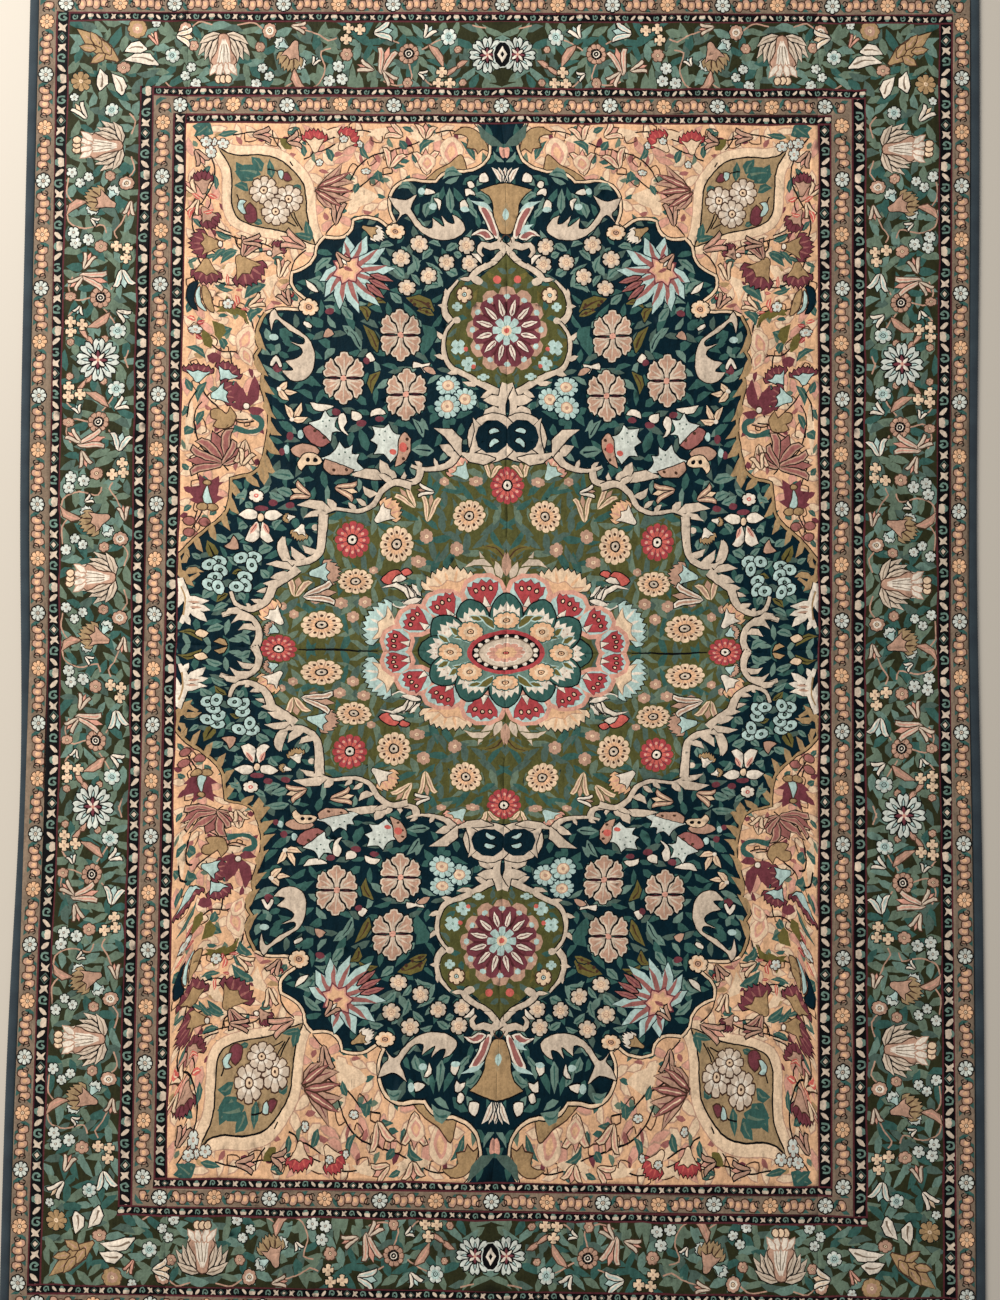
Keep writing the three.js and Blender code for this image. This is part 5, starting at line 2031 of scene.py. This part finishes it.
@dataclass
class KnottedPile:
    """The sheared wool pile, in pieces parted along the field's edge and middle lines."""

    loom: Loom
    foot: float = 5.5  # top of the ground weave
    # inset from the edging, height: the pile rounds over at its rim
    rim = ((0.0, 5.6), (0.7, 7.6), (2.0, 8.6), (4.2, 9.0))
    # corroded dark wool stands lower, the undyed wool a little higher
    worn_down = {Dye.INK: -0.6, Dye.BROWN: -0.45, Dye.NAVY: -0.25, Dye.MAROON: -0.3, Dye.IVORY: 0.2,
        Dye.SHELL: 0.15}
    swell: float = 0.35  # how much the sheared surface rises and falls

    def rectangles(self) -> dict[str, tuple[float, float, float, float]]:
        """Give each piece's rectangle on the drawing, as low and high corners."""
        w, h = self.loom.half_width, self.loom.half_length
        fw, fh = self.loom.field_half_width, self.loom.field_half_length
        found = {}
        for along, y0, y1 in (("far", 0, 1), ("near", -1, 0)):
            for across, x0, x1 in (("left", -1, 0), ("right", 0, 1)):
                found[f"pile_field_{along}_{across}"] = (x0 * fw, y0 * fh, x1 * fw, y1 * fh)
            found[f"pile_border_left_{along}"] = (-w, y0 * h, -fw, y1 * h)
            found[f"pile_border_right_{along}"] = (fw, y0 * h, w, y1 * h)
        found["pile_border_far_end"] = (-fw, fh, fw, h)
        found["pile_border_near_end"] = (-fw, -h, fw, -fh)
        return found

    def knot(self, cartoon: Cartoon) -> tuple[np.ndarray, np.ndarray, np.ndarray, np.ndarray]:
        """Turn the drawing to one net of triangles, none of them across two dyes.

        Args:
            cartoon: The drawing.

        Returns:
            Points of the drawing, triangles, and each triangle's piece and patch.
        """
        frames = list(self.rectangles().values())
        w, h = self.loom.half_width, self.loom.half_length
        frames += [(inset - w, inset - h, w - inset, h - inset) for inset, _ in self.rim[1:]]
        loops = [np.array([(x0, y0), (x1, y0), (x1, y1), (x0, y1)]) for x0, y0, x1, y1 in frames]
        loops += cartoon.loops
        sizes = [len(loop) for loop in loops]
        ends = np.cumsum(sizes)
        corners = [list(range(end - size, end)) for end, size in zip(ends.tolist(), sizes)]
        spots = [Vector(p) for p in np.concatenate(loops).tolist()]
        net = delaunay_2d_cdt(spots, [], corners, 1, 1e-4, True)
        points = np.array([p.to_tuple() for p in net[0]])
        triangles = np.array([face for face in net[2]])
        pieces = len(self.rectangles())
        piece = np.array([min(ids, default=pieces) for ids in net[5]])
        top = np.array([max(ids, default=0) for ids in net[5]])
        low = np.array([loop.min(0) for loop in loops])
        high = np.array([loop.max(0) for loop in loops])
        middle = points[triangles].mean(1)
        astray = ((middle < low[top]) | (middle > high[top])).any(1)
        for k in np.flatnonzero(astray):
            held = [i for i in net[5][k] if (middle[k] >= low[i]).all() and (middle[k] <= high[i]).all()]
            top[k] = max(held, default=0)
        top -= len(frames)
        kept = (piece < pieces) & (top >= 0)
        return points, triangles[kept], piece[kept], top[kept]

    def heights(self, points: np.ndarray, triangles: np.ndarray, wear: np.ndarray) -> np.ndarray:
        """Work out how high the pile stands at each point.

        Args:
            points: Points of the drawing.
            triangles: The net's triangles.
            wear: How far each triangle's wool stands above or below the rest.

        Returns:
            A height for each point.
        """
        x, y = points.T
        near = np.minimum(self.loom.half_width - np.abs(x), self.loom.half_length - np.abs(y))
        insets, rise = np.array(self.rim).T
        total, count = np.zeros(len(points)), np.zeros(len(points))
        for corner in triangles.T:
            np.add.at(total, corner, wear)
            np.add.at(count, corner, 1)
        relief = total / np.maximum(count, 1)
        swell = np.sin(x / 83 + 1.7 * np.sin(y / 210)) * np.sin(y / 61 + 1.3 * np.sin(x / 190))
        inner = np.clip(near / 12, 0, 1)
        return np.interp(near, insets, rise) + inner * (relief + self.swell * swell - self.swell)

    def build(self, cartoon: Cartoon, finish: bpy.types.Material) -> list[bpy.types.Object]:
        """Make the pile's pieces.

        Args:
            cartoon: The drawing.
            finish: The pile's material.

        Returns:
            The pieces.
        """
        points, triangles, piece, top = self.knot(cartoon)
        order = list(Dye)
        dyes = np.array([order.index(dye) for dye in cartoon.dyes])[top]
        wear = np.array([self.worn_down.get(dye, 0.0) for dye in order])[dyes]
        place = np.column_stack([self.loom.woven(points), self.heights(points, triangles, wear)])
        shades = np.array([(*linear(dye.value), 1.0) for dye in order])
        made = []
        for number, name in enumerate(self.rectangles()):
            mine = piece == number
            made.append(self.piece(name, place, triangles[mine], shades[dyes[mine]], finish))
        return made

    def piece(
        self, name: str, place: np.ndarray, triangles: np.ndarray, shades: np.ndarray,
        finish: bpy.types.Material
    ) -> bpy.types.Object:
        """Make one piece: its top, walls down to the ground weave, and a flat foot.

        Args:
            name: The piece's name.
            place: All the net's points.
            triangles: The piece's triangles.
            shades: A colour for each triangle.
            finish: The pile's material.

        Returns:
            The piece.
        """
        used, local = np.unique(triangles, return_inverse=True)
        tops = local.reshape(-1, 3)
        loop = edge_loop(tops)
        foot = place[used][loop].copy()
        foot[:, 2] = self.foot
        low = len(used) + np.arange(len(loop))
        walls = np.column_stack([loop, low, np.roll(low, -1), np.roll(loop, -1)])
        obj = make_mesh(name, np.concatenate([place[used], foot]), [tops, walls, low[None, ::-1]])
        corner_shades = np.concatenate([np.repeat(shades, 3, 0), np.full((5 * len(loop), 4), shades[0])])
        dye = obj.data.color_attributes.new(WoolPile.dye_name, "FLOAT_COLOR", "CORNER")
        dye.data.foreach_set("color", corner_shades.astype(np.float32).ravel())
        self.map_flat(obj, 3 * len(tops))
        obj.data.materials.append(finish)
        return obj

    def map_flat(self, obj: bpy.types.Object, top_corners: int) -> None:
        """Lay the piece's top out flat on a map, with its walls and foot in a corner of the map.

        Args:
            obj: The piece.
            top_corners: How many face corners its top has.
        """
        mesh = obj.data
        corner = np.empty(len(mesh.loops), np.int32)
        mesh.loops.foreach_get("vertex_index", corner)
        spots = np.empty(3 * len(mesh.vertices), np.float32)
        mesh.vertices.foreach_get("co", spots)
        flat = spots.reshape(-1, 3)[corner][:, :2]
        low, high = flat.min(0), flat.max(0)
        flat = (flat - low) / (high - low)
        flat[:top_corners] = 0.03 + 0.965 * flat[:top_corners]
        flat[top_corners:] = 0.004 + 0.02 * flat[top_corners:]
        mesh.uv_layers.new(name="OFBake").data.foreach_set("uv", flat.astype(np.float32).ravel())


@dataclass
class GroundWeave:
    """The cotton ground that the knots are tied on: a thin slab to the edgings, flat below."""

    loom: Loom
    steps: int = 60
    # inset, height: its rim from the floor up
    section = ((0.8, 0.0), (0.0, 1.2), (0.0, 5.5))

    def outline(self, inset: float, height: float) -> np.ndarray:
        """Give its outline at one height, anticlockwise."""
        w, h = self.loom.half_width - inset, self.loom.half_length - inset
        run = np.linspace(-1, 1, self.steps, endpoint=False)
        right = np.column_stack([w - self.loom.drawn_in(1, run * h), run * h])
        left = np.column_stack([-w + self.loom.drawn_in(-1, -run * h), -run * h])
        far = (w - float(self.loom.drawn_in(1, np.array(h))), h)
        near = (-w + float(self.loom.drawn_in(-1, np.array(-h))), -h)
        loop = np.concatenate([right, [far], left, [near]])
        return np.column_stack([loop, np.full(len(loop), height)])

    def build(self, finish: bpy.types.Material) -> bpy.types.Object:
        """Make the slab.

        Args:
            finish: Its material.

        Returns:
            The slab.
        """
        rings = [self.outline(inset, height) for inset, height in self.section]
        count = len(rings[0])
        ids = np.arange(count)
        after = np.roll(ids, -1)
        walls = [
            np.column_stack([k * count + ids, k * count + after, (k + 1) * count + after,
                (k + 1) * count + ids])
            for k in range(len(rings) - 1)
        ]
        obj = make_mesh("ground_weave", np.concatenate(rings),
            [*walls, ids[None, ::-1], ids[None] + 2 * count])
        obj.data.materials.append(finish)
        return obj


@dataclass
class Edging:
    """One overcast edging: cords along a side, wound round with yarn turn by turn."""

    name: str
    node: str
    loom: Loom
    end: bool
    sign: int
    width: float = 18.0
    height: float = 7.4
    seam: float = 0.3
    turn_mm: float = 5.0  # about 2 mm a turn; wider so that the turns show
    ridge: float = 0.45
    mitre = (18.0, 17.0)  # how broad the side and end edgings are where they meet
    # shares across and up, from the slab outwards
    section = (
        (0.05, 0.0), (0.92, 0.0), (0.99, 0.2), (1.0, 0.45), (0.95, 0.72), (0.8, 0.93),
        (0.58, 1.0), (0.32, 0.98), (0.1, 0.86), (0.0, 0.66), (0.0, 0.12),
    )

    def build(self, finish: bpy.types.Material) -> bpy.types.Object:
        """Make the edging.

        Args:
            finish: Its material.

        Returns:
            The edging.
        """
        inner = self.loom.half_width if self.end else self.loom.half_length
        side_mm, end_mm = self.mitre
        slope = side_mm / end_mm if self.end else end_mm / side_mm
        stations = int(round(2 * inner / self.turn_mm)) * 2
        share = np.linspace(-1, 1, stations + 1)[:, None]
        across, up = np.array(self.section).T
        turn = np.arange(stations + 1)[:, None] * math.pi + 0.9 * up[None, :] * 2
        puff = self.ridge * (np.cos(turn) - 1) / 2
        out = self.seam + across * (self.width - self.seam) + puff * np.where(across > 0.5, 1, -0.6)
        rise = np.where(up > 0.05, up * self.height + puff * np.clip(up * 2 - 0.6, 0, 1) * 1.6, 0)
        reach = share * (inner + np.clip(out, self.seam, None) * slope - self.seam)
        if self.end:
            x, y = self.sign * reach, self.sign * (self.loom.half_length + out)
        else:
            y = -self.sign * reach
            x = self.sign * (self.loom.half_width - self.loom.drawn_in(self.sign, y) + out)
        rise = np.broadcast_to(rise, x.shape)
        points = np.stack([x, y, rise], 2).reshape(-1, 3)
        count = len(self.section)
        ids = np.arange(stations * count).reshape(stations, count)
        after = np.roll(ids, -1, 1)
        sides = np.stack([ids, after, after + count, ids + count], 2).reshape(-1, 4)
        caps = np.stack([np.arange(count)[::-1], np.arange(count) + stations * count])
        obj = make_mesh(self.name, points, [sides, caps])
        obj.data.polygons.foreach_set("use_smooth", np.arange(len(obj.data.polygons)) < len(sides))
        obj.data.materials.append(finish)
        return obj


@dataclass
class Studio:
    """The floor, the lights and the camera."""

    focal_px: float = 1000.0
    frame_px: tuple[int, int] = (1000, 1300)
    sensor_mm: float = 36.0
    camera_place: tuple[float, float, float] = (0.0216, -0.0601, 1.7588)
    camera_tilt: tuple[float, float, float] = (1.682, 0.497, 0.543)

    def floor(self, finish: bpy.types.Material) -> bpy.types.Object:
        """Lay the floor.

        Args:
            finish: Its material.

        Returns:
            The floor.
        """
        reach = 6000.0
        points = np.array([(-reach, -reach, 0), (reach, -reach, 0), (reach, reach, 0), (-reach, reach, 0)])
        obj = make_mesh("floor", points - (0, 0, 0.05), [np.arange(4)[None]])
        obj.data.materials.append(finish)
        return obj

    def light(self, name: str, place: Point, aim: Point, size: float, watts: float, colour: str) -> None:
        """Hang one soft light.

        Args:
            name: Its name.
            place: Where it hangs, in metres.
            aim: Where it points.
            size: The width of its square face.
            watts: How strong it is.
            colour: Its colour as sRGB hex.
        """
        lamp = bpy.data.lights.new(name, "AREA")
        lamp.size = size
        lamp.energy = watts
        lamp.color = linear(colour)
        obj = bpy.data.objects.new(name, lamp)
        obj.location = place
        obj.rotation_euler = (Vector(aim) - Vector(place)).to_track_quat("-Z", "Y").to_euler()
        bpy.context.scene.collection.objects.link(obj)

    def build(self) -> None:
        """Set up the lights, the air's own light and the camera."""
        scene = bpy.context.scene
        self.light("window", (-2.1, 2.6, 2.5), (-0.3, 0.3, 0.0), 2.2, 140.0, "fffaf4")
        self.light("fill", (-3.6, -1.1, 3.0), (0.0, 0.0, 0.0), 2.6, 80.0, "fff3e4")
        world = bpy.data.worlds.new("studio_air")
        scene.world = world
        world.use_nodes = True
        world.node_tree.nodes["Background"].inputs["Color"].default_value = (*linear("e6e9ec"), 1)
        world.node_tree.nodes["Background"].inputs["Strength"].default_value = 0.4
        lens = bpy.data.cameras.new("camera")
        lens.sensor_width = self.sensor_mm
        lens.lens = self.sensor_mm * self.focal_px / max(self.frame_px)
        camera = bpy.data.objects.new("camera", lens)
        camera.location = self.camera_place
        camera.rotation_euler = [math.radians(turn) for turn in self.camera_tilt]
        scene.collection.objects.link(camera)
        scene.camera = camera
        scene.view_settings.view_transform = "Standard"


def main() -> None:
    """Build the rug on its frame, piece by piece."""
    logging.basicConfig(level=logging.INFO, format="%(name)s: %(message)s")
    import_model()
    loom = Loom()
    cartoon = Cartoon()
    draw_rug(Pen(cartoon))
    LOG.info("drawing: %d patches", len(cartoon.loops))
    pile = KnottedPile(loom).build(cartoon, WoolPile().material())
    ground = GroundWeave(loom).build(CottonGround().material())
    yarn = OvercastYarn().material()
    edgings = []
    for edging in (
        Edging("overcast_left", "edging_left", loom, False, -1),
        Edging("overcast_right", "edging_right", loom, False, 1),
        Edging("overcast_far_end", "edging_far_end", loom, True, 1, 17.0),
        Edging("overcast_near_end", "edging_near_end", loom, True, -1, 17.0),
    ):
        piece = edging.build(yarn)
        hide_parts(edging.node)
        edgings.append(piece)
    for piece in (ground, *pile):
        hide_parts("knotted_pile")
    for piece in (ground, *pile, *edgings):
        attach(piece, "root")
        LOG.info("%s: %d faces", piece.name, len(piece.data.polygons))
    studio = Studio()
    studio.floor(PaleFloor().material())
    studio.build()


if __name__ == "__main__":
    main()
